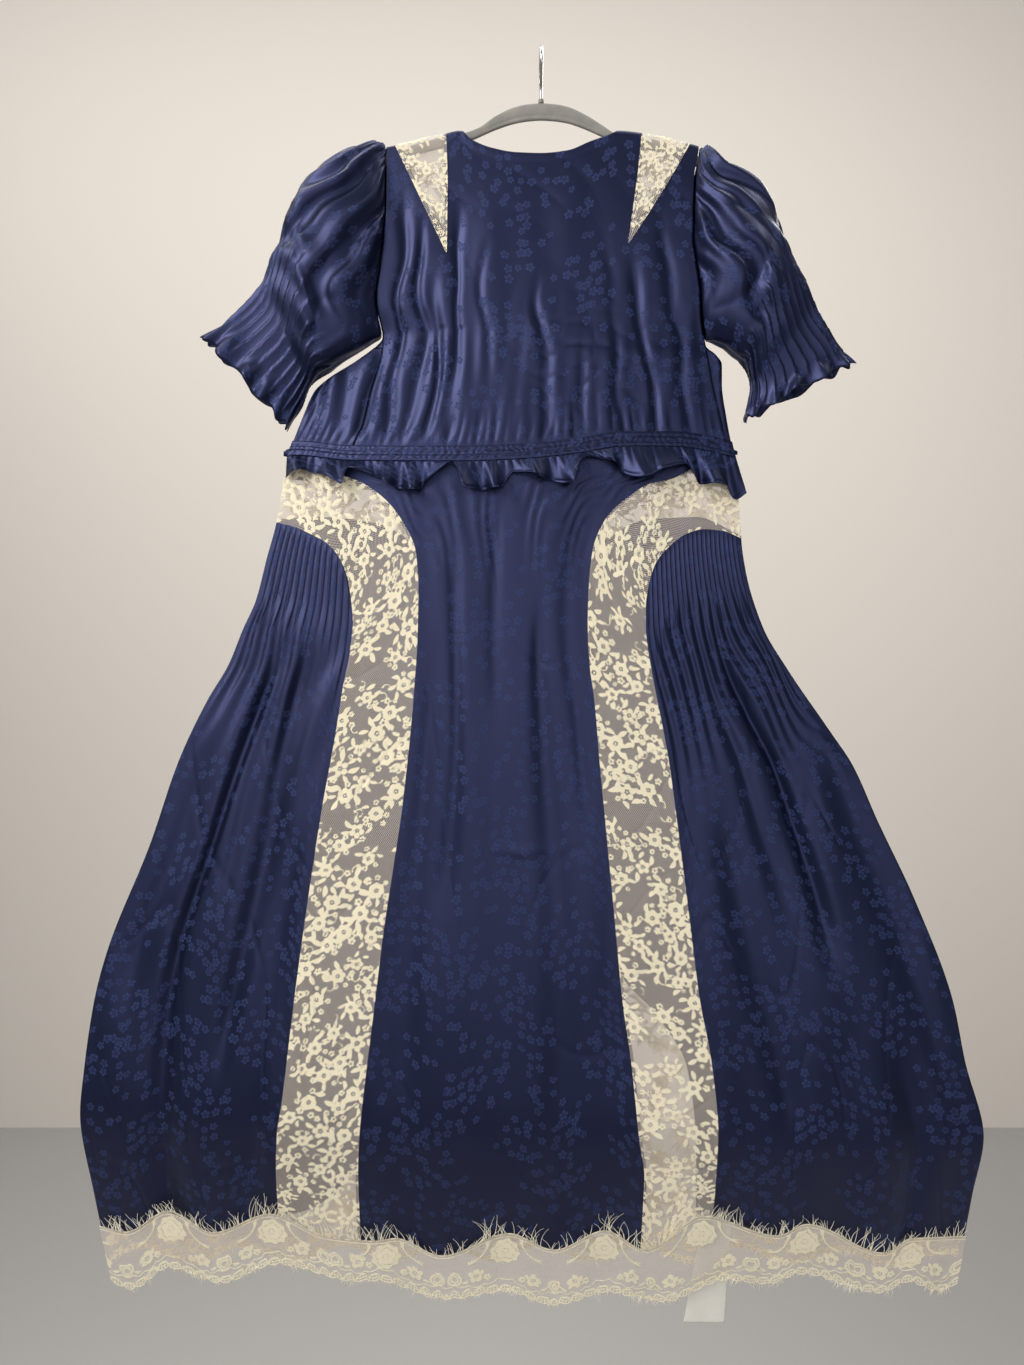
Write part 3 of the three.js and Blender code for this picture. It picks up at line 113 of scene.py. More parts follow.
# Lower edge of the near ruffle: x, z
RUFFLE_EDGE = np.array([
    (-269, -453), (-250, -446), (-231, -450), (-208, -463), (-197, -445), (-177, -453),
    (-132, -470), (-112, -454), (-96, -440), (-74, -469), (-40, -467), (-27, -450), (0, -456),
    (28, -463), (40, -442), (52, -434), (76, -442), (100, -456), (130, -447), (148, -440),
    (165, -460), (192, -463), (206, -476), (216, -469),
], float)
# Lace band crossings: x and z on the centre side, then x and z on the side panel
NEAR_LEFT_BAND = np.array([
    (-267, -430, -280, -499), (-241, -433, -261, -504), (-216, -448, -241, -513),
    (-190, -458, -225, -522), (-163, -477, -211, -539), (-142, -505, -203, -559),
    (-131, -532, -199, -582), (-128, -572, -197, -605), (-129, -624, -200, -636),
    (-132, -670, -207, -672), (-137, -729, -216, -729), (-145, -800, -229, -800),
    (-164, -926, -248, -926), (-173, -999, -258, -999), (-186, -1103, -271, -1103),
    (-191, -1150, -278, -1146), (-194, -1201, -282, -1196), (-195, -1275, -283, -1244),
], float)
NEAR_RIGHT_BAND = np.array([
    (205, -428, 212, -516), (184, -431, 190, -508), (160, -443, 172, -507), (136, -455, 155, -511),
    (114, -460, 135, -525), (90, -475, 119, -545), (66, -499, 112, -568), (53, -532, 109, -590),
    (49, -572, 109, -611), (48, -610, 111, -632), (50, -650, 115, -656), (55, -688, 121, -688),
    (60, -748, 132, -746), (66, -812, 141, -812), (75, -905, 153, -905), (84, -999, 165, -999),
    (93, -1062, 177, -1062), (102, -1145, 185, -1142), (109, -1196, 185, -1194),
    (108, -1285, 184, -1243),
], float)
FAR_LEFT_BAND = np.array([
    (-270, -430, -280, -498), (-215, -432, -236, -495), (-151, -436, -183, -500),
    (-97, -452, -145, -516), (-67, -483, -127, -539), (-56, -526, -121, -569),
    (-55, -580, -119, -608), (-57, -687, -123, -687), (-67, -794, -138, -794),
    (-81, -901, -155, -901), (-92, -1009, -168, -1009), (-99, -1095, -181, -1095),
    (-111, -1162, -193, -1163), (-126, -1220, -215, -1212), (-142, -1269, -230, -1244),
], float)
FAR_RIGHT_BAND = np.array([
    (206, -427, 212, -515), (160, -430, 171, -495), (96, -433, 117, -496), (37, -449, 76, -513),
    (-6, -483, 53, -539), (-19, -526, 45, -571), (-20, -580, 43, -608), (-18, -687, 49, -687),
    (-11, -794, 59, -794), (-1, -901, 72, -901), (18, -998, 90, -982), (52, -1062, 130, -1028),
    (73, -1116, 160, -1080), (80, -1174, 170, -1150), (83, -1264, 175, -1256),
], float)
# Hem lace edges: x, z
HEM_TOP = np.array([
    (-482, -1263), (-454, -1269), (-402, -1240), (-357, -1266), (-291, -1240), (-232, -1267),
    (-180, -1272), (-156, -1268), (-107, -1290), (-34, -1260), (15, -1281), (69, -1256),
    (114, -1281), (173, -1238), (256, -1264), (286, -1250), (375, -1289), (404, -1271),
    (465, -1270),
], float)
HEM_BOTTOM = np.array([
    (-482, -1331), (-457, -1344), (-409, -1313), (-358, -1331), (-285, -1304), (-203, -1324),
    (-179, -1323), (-106, -1347), (-39, -1336), (14, -1353), (75, -1336), (132, -1349),
    (205, -1321), (250, -1326), (283, -1313), (375, -1340), (406, -1326), (445, -1341),
    (465, -1328),
], float)
# Sleeve rings: x and z of the upper point, x and z of the underside point, half depth
LEFT_SLEEVE = np.array([
    (-168, -101, -168, -301, 11), (-180, -96, -180, -307, 25), (-204, -103, -195, -318, 33),
    (-230, -121, -209, -327, 37), (-257, -147, -221, -335, 37), (-270, -187, -232, -342, 34),
    (-284, -219, -240, -348, 28), (-297, -248, -246, -356, 19), (-326, -281, -252, -373, 17),
    (-357, -303, -267, -401, 20),
], float)
RIGHT_SLEEVE = np.array([
    (168, -103, 176, -307, 11), (181, -102, 186, -308, 24), (206, -121, 196, -313, 32),
    (230, -144, 203, -321, 35), (248, -173, 210, -327, 34), (262, -210, 216, -333, 31),
    (278, -244, 220, -342, 26), (294, -278, 222, -356, 18), (313, -308, 219, -373, 17),
    (330, -330, 214, -391, 20),
], float)
# Hanger: x, top, height
HANGER = np.array([
    (-198, -121, 9), (-166, -110.5, 11), (-140, -100.5, 11), (-101, -90, 11), (-83, -86.8, 9.5),
    (-65, -80.5, 9.5), (-49, -69, 14), (-28, -59, 17), (-14, -56, 17.5), (0, -55, 17.5),
    (14, -55.8, 17.5), (28, -58.5, 17), (47, -67, 15), (63, -77, 12), (80, -87, 9.5),
    (103, -90, 11), (135, -97.5, 11), (162, -109.5, 11), (193, -119, 9),
], float)
# Top edges of the pin-tucked panels: place across, z
TUCKED_TOPS = {
    "near_left": np.array([(0, -496), (0.22, -501), (0.46, -511), (0.65, -518), (0.8, -534),
        (0.89, -554), (0.94, -577), (0.98, -598), (1, -610)], float),
    "near_right": np.array([(0, -608), (0.025, -587), (0.05, -566), (0.12, -542), (0.27, -522),
        (0.46, -508), (0.62, -504), (0.79, -505), (1, -513)], float),
    "far_left": np.array([(0, -495), (0.27, -492), (0.6, -497), (0.8, -510), (0.92, -534),
        (0.97, -562), (1, -606)], float),
    "far_right": np.array([(0, -606), (0.03, -565), (0.07, -537), (0.2, -512), (0.43, -494),
        (0.73, -492), (1, -512)], float),
}
# The dress leans back below a soft corner, and its layers close over the hanger within the drop
LEAN_SLOPE, LEAN_SOFTNESS, LEAN_Z, LEAN_X, LEAN_DROP = 0.287, 25.0, -1124.0, -488.0, 0.034
SHOULDER_DROP = 5.0
# The lace inset at each shoulder: outer and inner top corner, inner edge's bend, tip x and z, bow
INSETS = {"left": (-155, -100, -98, -100, -218, 0), "right": (158, 106, 101, 92, -208, 2)}
# The notches under the insets: x of their middles, z of their tip, and how far below it their edges meet
NOTCH_LEFT, NOTCH_RIGHT, NOTCH_TIP, NOTCH_CLOSE = -102.5, 95.5, -194.0, 22.0
# Folds of the back bodice: place across, depth, start
BODICE_FOLDS = [
    (0.064, 4.5, -140), (0.13, 5.5, -172), (0.182, 5, -222), (0.24, 3.5, -150), (0.33, 1.6, -190),
    (0.5, 3.2, -230), (0.61, 1.8, -300), (0.72, 1.6, -180), (0.809, 4.5, -200), (0.912, 3.5, -165),
]
# The casing round the waist seam, and its puckers
CASING_ABOVE, CASING_BELOW, CASING_THICK, PUCKERS = 4.0, 12.0, 1.4, 62
# Pin-tucks of each side panel: count, height, and how far below the top they start to open and end
TUCKS = {
    "near_left": (15, 1.5, 78, 118), "near_right": (22, 1.4, 66, 104),
    "far_left": (14, 1.5, 78, 118), "far_right": (14, 1.4, 66, 104),
}
# Hanging folds of each skirt panel: place across, depth, top, bottom
SKIRT_FOLDS = {
    "near_left": [(0.18, 3.5, -700, -1000), (0.38, 6.5, -610, -1270), (0.68, 6.5, -600, -1060),
                  (0.52, 2.5, -640, -900), (0.85, 2.5, -800, -1200)],
    "near_right": [(0.26, 4, -780, -1150), (0.56, 7, -610, -960), (0.77, 5, -1020, -1270),
                   (0.42, 2.5, -640, -900), (0.88, 2.2, -700, -1100)],
    "near_centre": [(0.24, 3, -480, -900), (0.72, 3, -560, -1270), (0.47, 1.8, -440, -700),
                    (0.12, 1.5, -600, -1100), (0.88, 1.6, -480, -820)],
    "far_left": [(0.35, 5, -560, -1270), (0.7, 4, -560, -1100)],
    "far_right": [(0.3, 4, -560, -1270), (0.65, 5, -560, -1200)],
    "far_centre": [(0.5, 3, -480, -1270), (0.2, 2, -500, -1000)],
}
# The hem lace: x of its peaks on the near side, its repeat, and the far side's first peak and scallops
HEM_PEAKS = np.array([-513, -402, -291, -168, -37, 69, 173, 286, 404, 515], float)
HEM_REPEAT, FAR_HEM_PEAK = 111.0, -220.0
FAR_HEM_MEAN, FAR_HEM_WAVE, FAR_HEM_TALL = -1242.0, 10.0, 66.0
RUFFLE_THICK, RUFFLE_WAVE, RUFFLE_OVERHANG, FAR_RUFFLE_DROP = 1.6, 6.5, 2.5, 34.0
# The label's ends: x of both corners, z
LABEL_TOP, LABEL_BOTTOM = (176.0, 206.0, -1234.0), (161.0, 207.0, -1384.0)
# Radii of the hook's wire, its bend and the collar, where the stem ends, and half the hanger's thickness
HOOK_WIRE, HOOK_BEND, STEM_BOTTOM, COLLAR_RADIUS, HANGER_HALF = 1.7, 17.0, -50.0, 3.0, 2.8
# The stage, in metres: the camera's x and z, the wall's y, the floor's z, and how far both reach
CAMERA_X, CAMERA_Z, LENS_MM = -0.0307, -0.6683, 27
WALL_Y, FLOOR_Z, STAGE_HALF, STAGE_FRONT, STAGE_TOP = 2.3, -2.14, 6, -5, 3
# Lights: name, place, target, size, watts, spread in degrees
LIGHTS = (
    ("Key", (-1.9, -1.9, 0.9), (0, 0, -0.7), (2.0, 2.0), 22, 85),
    ("Front", (0, -2.5, -0.52), (0, 0, -0.52), (3.4, 2.5), 9.0, 90),
    ("Rear", (0.9, 2.1, 0.8), (0, 0, -0.7), (2.2, 1.6), 24, 90),
    ("Wall light", (-0.3, 0.3, 1.6), (0, WALL_Y, -0.9), (4.5, 0.8), 64, 180),
)
LIGHT_COLOUR, SKY_COLOUR, SKY_STRENGTH = (1.0, 0.985, 0.965), (0.93, 0.95, 1.0, 1), 0.25


def read(rows, place, value=1, key=0):
    """A table's value at a place, on cubics that never overshoot: the tangent at a row is the harmonic
    mean of the slopes on both sides of it, or 0 where they differ in sign."""
    keys, values = rows[:, key], rows[:, value]
    place = np.asarray(place, float)
    if keys[0] > keys[-1]:
        keys, place = -keys, -place
    slope = np.diff(values) / np.diff(keys)
    tangent = np.concatenate([slope[:1], np.zeros(len(slope) - 1), slope[-1:]])
    before, after = slope[:-1], slope[1:]
    same = before * after > 0
    tangent[1:-1][same] = (2 * before * after)[same] / (before + after)[same]
    i = np.clip(np.searchsorted(keys, place) - 1, 0, len(keys) - 2)
    span = keys[i + 1] - keys[i]
    t = np.clip((place - keys[i]) / span, 0, 1)
    rise = t * t * (3 - 2 * t)
    bend = (t**3 - 2 * t * t + t) * tangent[i] + (t**3 - t * t) * tangent[i + 1]
    return values[i] * (1 - rise) + values[i + 1] * rise + span * bend


def ramp(start, end, place):
    """0 before start, 1 after end, and 3t^2 - 2t^3 between them."""
    t = np.clip((place - start) / (end - start), 0, 1)
    return t * t * (3 - 2 * t)


def bump(distance, width):
    """exp(-(d / w)^2), a soft rise of height 1."""
    return np.exp(-((distance / width) ** 2))


def mix(a, b, share):
    """a (1 - share) + b share."""
    return a * (1 - share) + b * share


def ripple(x, z, size, seed, stretch=1.0):
    """Uneven relief from about -1 to 1: the sum of nine plane waves of lengths near size, a third each,
    in seeded directions. stretch lengthens them along z."""
    random = np.random.default_rng(seed)
    total = 0.0
    for _ in range(9):
        angle, phase = random.uniform(0, np.pi), random.uniform(0, 2 * np.pi)
        length = size * random.uniform(0.7, 1.6)
        along = x * np.cos(angle) + z * np.sin(angle) / stretch
        total = total + np.cos(2 * np.pi * along / length + phase)
    return total / 3


def creases(x, z, size, seed, stretch=1.0, width=0.35):
    """Thin sharp lines, 1 along the zeros of a ripple and 0 a little way off: max(0, 1 - |r| / w)^2."""
    return np.maximum(0, 1 - np.abs(ripple(x, z, size, seed, stretch)) / width) ** 2


def lean(x, z):
    """How far back the dress hangs: slope / 2 (b + sqrt(b^2 + s^2)), with b the height below a soft
    corner."""
    below = LEAN_Z - LEAN_DROP * (x - LEAN_X) - z
    return LEAN_SLOPE / 2 * (below + np.hypot(below, LEAN_SOFTNESS))


def line_of(rows):
    """The line that a table gives, as a function of its first column."""
    return lambda place: read(rows, place)


left_at, right_at, waist_at = line_of(LEFT_EDGE), line_of(RIGHT_EDGE), line_of(WAIST)
shoulder_at, side_fold_at = line_of(SHOULDER_LINE), line_of(SIDE_FOLD)


def side_fold_dip(sign, x, z):
    """The deep fold beside the back bodice: 5 exp(-((x - fold) / 9)^2), from the underarm to the waist."""
    if sign == FAR:
        return 0.0
    near = 5.0 * bump(x - side_fold_at(z), 9.0) * ramp(-300, -350, z) * ramp(-415, -395, z)
    return np.where(x > 0, 0.0, near)


def hollow(sign, x, z):
    """Distance of the satin's outer face from the middle of the dress: edge + (depth - edge)(1 - s^2)
    across the dress, rounded over the hanger below the shoulder, less the side fold."""
    left, right = left_at(z), right_at(z)
    across = np.clip((2 * x - left - right) / (right - left), -1, 1)
    edge = read(ARMHOLE, z)
    opened = edge + (read(DEPTHS, z, 1 if sign == NEAR else 2) - edge) * (1 - across**2)
    below = np.clip((shoulder_at(x) - z) / SHOULDER_DROP, 0, 1)
    open_by = opened * np.sqrt(np.maximum(0, 1 - (1 - below) ** 2))
    return SATIN + SLIT + np.maximum(0.2 * open_by, open_by - side_fold_dip(sign, x, z))


def face_y(sign, x, z, lifted):
    """y of a face that is lifted off the satin: lean + sign (hollow + lifted)."""
    return lean(x, z) + sign * (hollow(sign, x, z) + lifted)


near_hem_top, near_hem_bottom = line_of(HEM_TOP), line_of(HEM_BOTTOM)


def far_hem_top(x):
    """The far side's scallops: mean + wave cos(2 pi (x - peak) / repeat)."""
    return FAR_HEM_MEAN + FAR_HEM_WAVE * np.cos(2 * np.pi * (x - FAR_HEM_PEAK) / HEM_REPEAT)


def far_hem_bottom(x):
    return far_hem_top(x) - FAR_HEM_TALL


def edge_line(left, right, edge):
    """z across a panel along an edge that is known as z at x, found by four rounds of substitution."""
    def line(u):
        z = edge(mix(left(edge(0.0)), right(edge(0.0)), u))
        for _ in range(4):
            z = edge(mix(left(z), right(z), u))
        return z
    return line


def between(first, second):
    """Quads between two rows of vertex numbers, or between all rows of two grids."""
    corners = [first[..., :-1], second[..., :-1], second[..., 1:], first[..., 1:]]
    return np.stack(corners, -1).reshape(-1, 4)


def normals(points, closed=False):
    """Unit normals of a grid of points: the cross product of its differences down and across."""
    ring = np.concatenate([points[:, -1:], points, points[:, :1]], 1) if closed else points
    across = np.gradient(ring, axis=1)
    across = across[:, 1:-1] if closed else across
    made = np.cross(np.gradient(points, axis=0), across)
    return made / np.maximum(np.linalg.norm(made, axis=-1, keepdims=True), 1e-9)


def measure(points):
    """Cloth coordinates of a grid, in mm: lengths along its rows from their middles, and along its middle
    column."""
    across = np.linalg.norm(np.diff(points, axis=1), axis=-1)
    across = np.concatenate([np.zeros((len(points), 1)), np.cumsum(across, 1)], 1)
    middle = points[:, points.shape[1] // 2]
    down = np.concatenate([[0], np.cumsum(np.linalg.norm(np.diff(middle, axis=0), axis=-1))])
    return np.stack([across - across[:, -1:] / 2, np.broadcast_to(-down[:, None], across.shape)], -1)


def make_piece(name, points, quads, places, material, motif=None, caps=()):
    """A mesh object that replaces the node of its name, from points in mm, quads, a cloth place in mm for
    each corner of each quad, and end caps."""
    mesh = bpy.data.meshes.new(name)
    faces = quads.tolist() + [list(map(int, cap)) for cap in caps]
    mesh.from_pydata((points * 0.001).tolist(), [], faces)
    layer = mesh.uv_layers.new(name="cloth")
    places = np.concatenate([places, *[points[cap][:, [0, 2]] for cap in caps]])
    layer.data.foreach_set("uv", (places * 0.001).astype(np.float32).ravel())
    if motif is not None:
        held = mesh.attributes.new("motif", "FLOAT", "POINT")
        held.data.foreach_set("value", motif.astype(np.float32).ravel())
    mesh.shade_smooth()
    mesh.materials.append(material)
    piece = bpy.data.objects.new(name, mesh)
    bpy.context.scene.collection.objects.link(piece)
    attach(piece, "root")
    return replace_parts(piece, name)


def outwards(points, quads):
    """The quads, turned if the volume inside them comes out negative."""
    a, b, c, d = (points[quads[:, k]] for k in range(4))
    volume = (a * np.cross(b, c)).sum() + (a * np.cross(c, d)).sum()
    return quads if volume > 0 else quads[:, ::-1]


def shell(name, outer, inner, material, closed=False, skip=()):
    """A closed wall between two grids. closed joins the last column to the first, and skip names a quad
    column that is left out, down to a row: the wall is closed along both sides of that slot."""
    rows, columns = outer.shape[:2]
    ids = np.arange(rows * columns).reshape(rows, columns)
    count = rows * columns
    place = measure(outer)
    if closed:
        ids = np.concatenate([ids, ids[:, :1]], 1)
        place = measure(np.concatenate([outer, outer[:, :1]], 1))
    corner = np.arange(place.shape[0] * place.shape[1]).reshape(place.shape[:2])
    held = np.ones((rows - 1, ids.shape[1] - 1), bool)
    for column, end in skip:
        held[:end, column] = False
    front = np.stack([ids[:-1, :-1], ids[1:, :-1], ids[1:, 1:], ids[:-1, 1:]], -1)
    spots = np.stack([corner[:-1, :-1], corner[1:, :-1], corner[1:, 1:], corner[:-1, 1:]], -1)
    quads, uv = [front[held], front[held][:, ::-1] + count], [spots[held], spots[held][:, ::-1]]
    # a rim quad stands on every side of a kept quad that has no kept neighbour
    padded = np.pad(held, 1)
    if closed:
        padded[1:-1, 0], padded[1:-1, -1] = held[:, -1], held[:, 0]
    sides = padded[1:-1, :-2], padded[2:, 1:-1], padded[1:-1, 2:], padded[:-2, 1:-1]
    for k, neighbour in enumerate(sides):
        m = (k + 1) % 4
        bare = held & ~neighbour
        a, b = front[bare][:, k], front[bare][:, m]
        quads.append(np.stack([b, a, a + count, b + count], -1))
        p, q = spots[bare][:, k], spots[bare][:, m]
        uv.append(np.stack([q, p, p, q], -1))
    quads, uv = np.concatenate(quads), np.concatenate(uv)
    points = np.concatenate([outer.reshape(-1, 3), inner.reshape(-1, 3)])
    turned = outwards(points, quads)
    if turned is not quads:
        uv = uv[:, ::-1]
    return make_piece(name, points, turned, place.reshape(-1, 2)[uv.ravel()], material)


def lace_sheet(name, sign, points, place, field, material):
    """A single face of lace, which faces the viewer on the near side and away on the far side. Its motifs
    stand up from the net where the field passes 0."""
    points[..., 1] += sign * 0.4 * ramp(-0.4, 0.7, field)
    rows, columns = points.shape[:2]
    ids = np.arange(rows * columns).reshape(rows, columns)
    quads = between(ids[:-1], ids[1:])
    quads = quads if sign == NEAR else quads[:, ::-1]
    places = place.reshape(-1, 2)[quads.ravel()]
    return make_piece(name, points.reshape(-1, 3), quads, places, material, field)


def panel(sign, left, right, top, bottom, u, v, relief):
    """Points of a cloth panel: z from its top line to its bottom line, x from its left edge to its right
    edge at that height, and y on the dress's face, moved outwards by relief(u, x, z)."""
    across, down = np.meshgrid(u, v)
    z = mix(top(across), bottom(across), down)
    x = mix(left(z), right(z), across)
    return np.stack([x, face_y(sign, x, z, relief(across, x, z)), z], -1)


def cloth(name, sign, outer, material, thickness=CLOTH, skip=()):
    """A closed piece of cloth from its outer face. Its inner face is the outer one moved inwards along y."""
    return shell(name, outer, outer - np.array([0, sign * thickness, 0]), material, skip=skip)


def spaced(size, step):
    """Even numbers from 0 to 1, about a step apart along a size."""
    return np.linspace(0, 1, max(2, int(round(size / step)) + 1))


def inset_edges(shape):
    """x of an inset's outer and inner edge at a height: straight to the tip with a slight bow, and a bent
    line."""
    outer, inner, inner_low, tip_x, tip_z, bow = shape
    outwards_x = np.sign(outer)

    def down(z, x):
        top = shoulder_at(x)
        return np.clip((top - z) / (top - tip_z), 0, 1)

    def outer_at(z):
        return mix(outer, tip_x, down(z, outer)) + outwards_x * bow * np.sin(np.pi * down(z, outer))

    def inner_at(z):
        t = down(z, inner)
        low = mix(inner_low, tip_x - outwards_x * 1.2, (t - 0.4) / 0.6)
        return np.where(t < 0.4, mix(inner, inner_low, t / 0.4), low)

    return outer_at, inner_at


def gathers(count, x, z, u, seed):
    """Raised gathers above the casing: 1.1 |sin(pi n u')|, with u' shifted by a ripple so that no two are
    alike."""
    above = z - waist_at(x)
    height = 32 + 18 * ripple(x, 0 * z, 55, seed)
    strength = ramp(height + 20, 12, above) * ramp(0, 5, above - CASING_ABOVE)
    place = u * count + 0.45 * ripple(x, z, 70, seed + 1, 3)
    return 1.1 * strength * (np.abs(np.sin(np.pi * place)) - 0.35)


def bodice_relief(u, x, z):
    """Relief of the back bodice: wandering soft folds, gathers, pleats, crumpled cloth and a bound neck
    edge."""
    fade = ramp(-425, -398, z) * ramp(0, 0.03, u) * ramp(1, 0.97, u)
    folds = 0.0
    for at, depth, start in BODICE_FOLDS:
        wander = 0.008 * np.sin(z / 31 + at * 40) + 0.004 * np.sin(z / 13 + at * 90)
        width = 0.017 * (1 + 0.3 * np.sin(z / 45 + at * 70))
        folds = folds + 0.8 * depth * bump(u - at - wander, width) * ramp(start, start - 60, z)
    long = 0.6 * ripple(x, z, 46, 5, 7) * ramp(-120, -200, z)
    long = long + 0.35 * ripple(x, z, 15, 6, 8) * ramp(-230, -350, z)
    crumple = creases(x + 0.5 * z, z - 0.4 * x, 52, 7, 0.8, 0.8) * bump(x - 45, 60) * bump(z + 330, 50)
    crumple = crumple + 0.25 * creases(x, z, 90, 8, 3, 0.9) * bump(z + 240, 120)
    under_neck = 0.5 * creases(x + z, z, 90, 9, 1.5, 0.9) * bump(z + 150, 40)
    binding = 0.5 * ramp(8, 7, read(BACK_NECK, x) - z) * ramp(-85, -81, x) * ramp(82, 78, x)
    return (-folds + long - 1.1 * crumple - under_neck) * fade + binding + gathers(34, x, z, u, 11)


def bodice(name, sign, neck, left, right, relief, material, spacing):
    """One side of the bodice with a notch below each shoulder. Its columns run along the notches' edges,
    which meet at the notch's tip, and the quads between both edges of a notch are left out."""
    high, low = -95.0, -420.0

    def top(u):
        x = mix(left(high), right(high), u)
        return np.where((x <= neck[0, 0]) | (x >= neck[-1, 0]), shoulder_at(x), read(neck, x))

    bottom = edge_line(left, right, lambda x: waist_at(x) + 0.6)
    rows = np.concatenate([[0, 0.004, 0.009, 0.018], np.linspace(0.028, 1, int(330 / spacing[1]))])
    left_out, left_in = inset_edges(INSETS["left"])
    right_out, right_in = inset_edges(INSETS["right"])

    def edge(at, z, towards, centre):
        """An edge of the notch, which is narrower than the inset by the lap, down to a line below its tip."""
        open_edge = at(np.maximum(z, NOTCH_TIP)) + towards
        return mix(open_edge, centre - 0.1 * towards, ramp(NOTCH_TIP + NOTCH_CLOSE, NOTCH_TIP, z))

    side = np.linspace(0, 1, int(60 / spacing[0]))
    corner = np.array([0.072, 0.078, 0.084, 0.09, 0.097, 0.104])
    middle = np.unique(np.concatenate([np.linspace(0, 1, int(205 / spacing[0])), corner, 1 - corner - 0.03]))
    share = np.concatenate([side, middle, side])
    part = np.repeat([0, 1, 2], [len(side), len(middle), len(side)])
    z = np.broadcast_to(mix(high, low, rows)[:, None], (len(rows), len(share)))
    for _ in range(8):
        spans = [(left(z), edge(left_out, z, LAP * 1.5, NOTCH_LEFT)),
                 (edge(left_in, z, -LAP, NOTCH_LEFT), edge(right_in, z, LAP, NOTCH_RIGHT)),
                 (edge(right_out, z, -LAP * 1.5, NOTCH_RIGHT), right(z))]
        x = np.choose(part, [mix(start, end, share) for start, end in spans])
        u = np.clip((x - left(z)) / (right(z) - left(z)), 0, 1)
        z = mix(top(u), bottom(u), rows[:, None])
    outer = np.stack([x, face_y(sign, x, z, relief(u, x, z)), z], -1)
    skip = [(column, int(np.argmax(z[:, column] < NOTCH_TIP)))
            for column in (len(side) - 1, len(side) + len(middle) - 1)]
    return cloth(name, sign, outer, material, skip=skip)


def side_relief(u, x, z):
    """Relief of the bodice's left side: long ripples and gathers."""
    fade = ramp(0, 0.08, u) * ramp(1, 0.92, u) * ramp(-425, -398, z) * ramp(-308, -335, z)
    return 1.5 * ripple(x, z, 22, 21, 5) * fade + gathers(8, x, z, u, 22)


def front_relief(u, x, z):
    """Relief of the front bodice: long ripples and gathers."""
    fade = ramp(-425, -398, z) * ramp(0, 0.03, u) * ramp(1, 0.97, u) * ramp(-150, -230, z)
    return 1.8 * ripple(x, z, 45, 31, 5) * fade + gathers(20, x, z, u, 32)


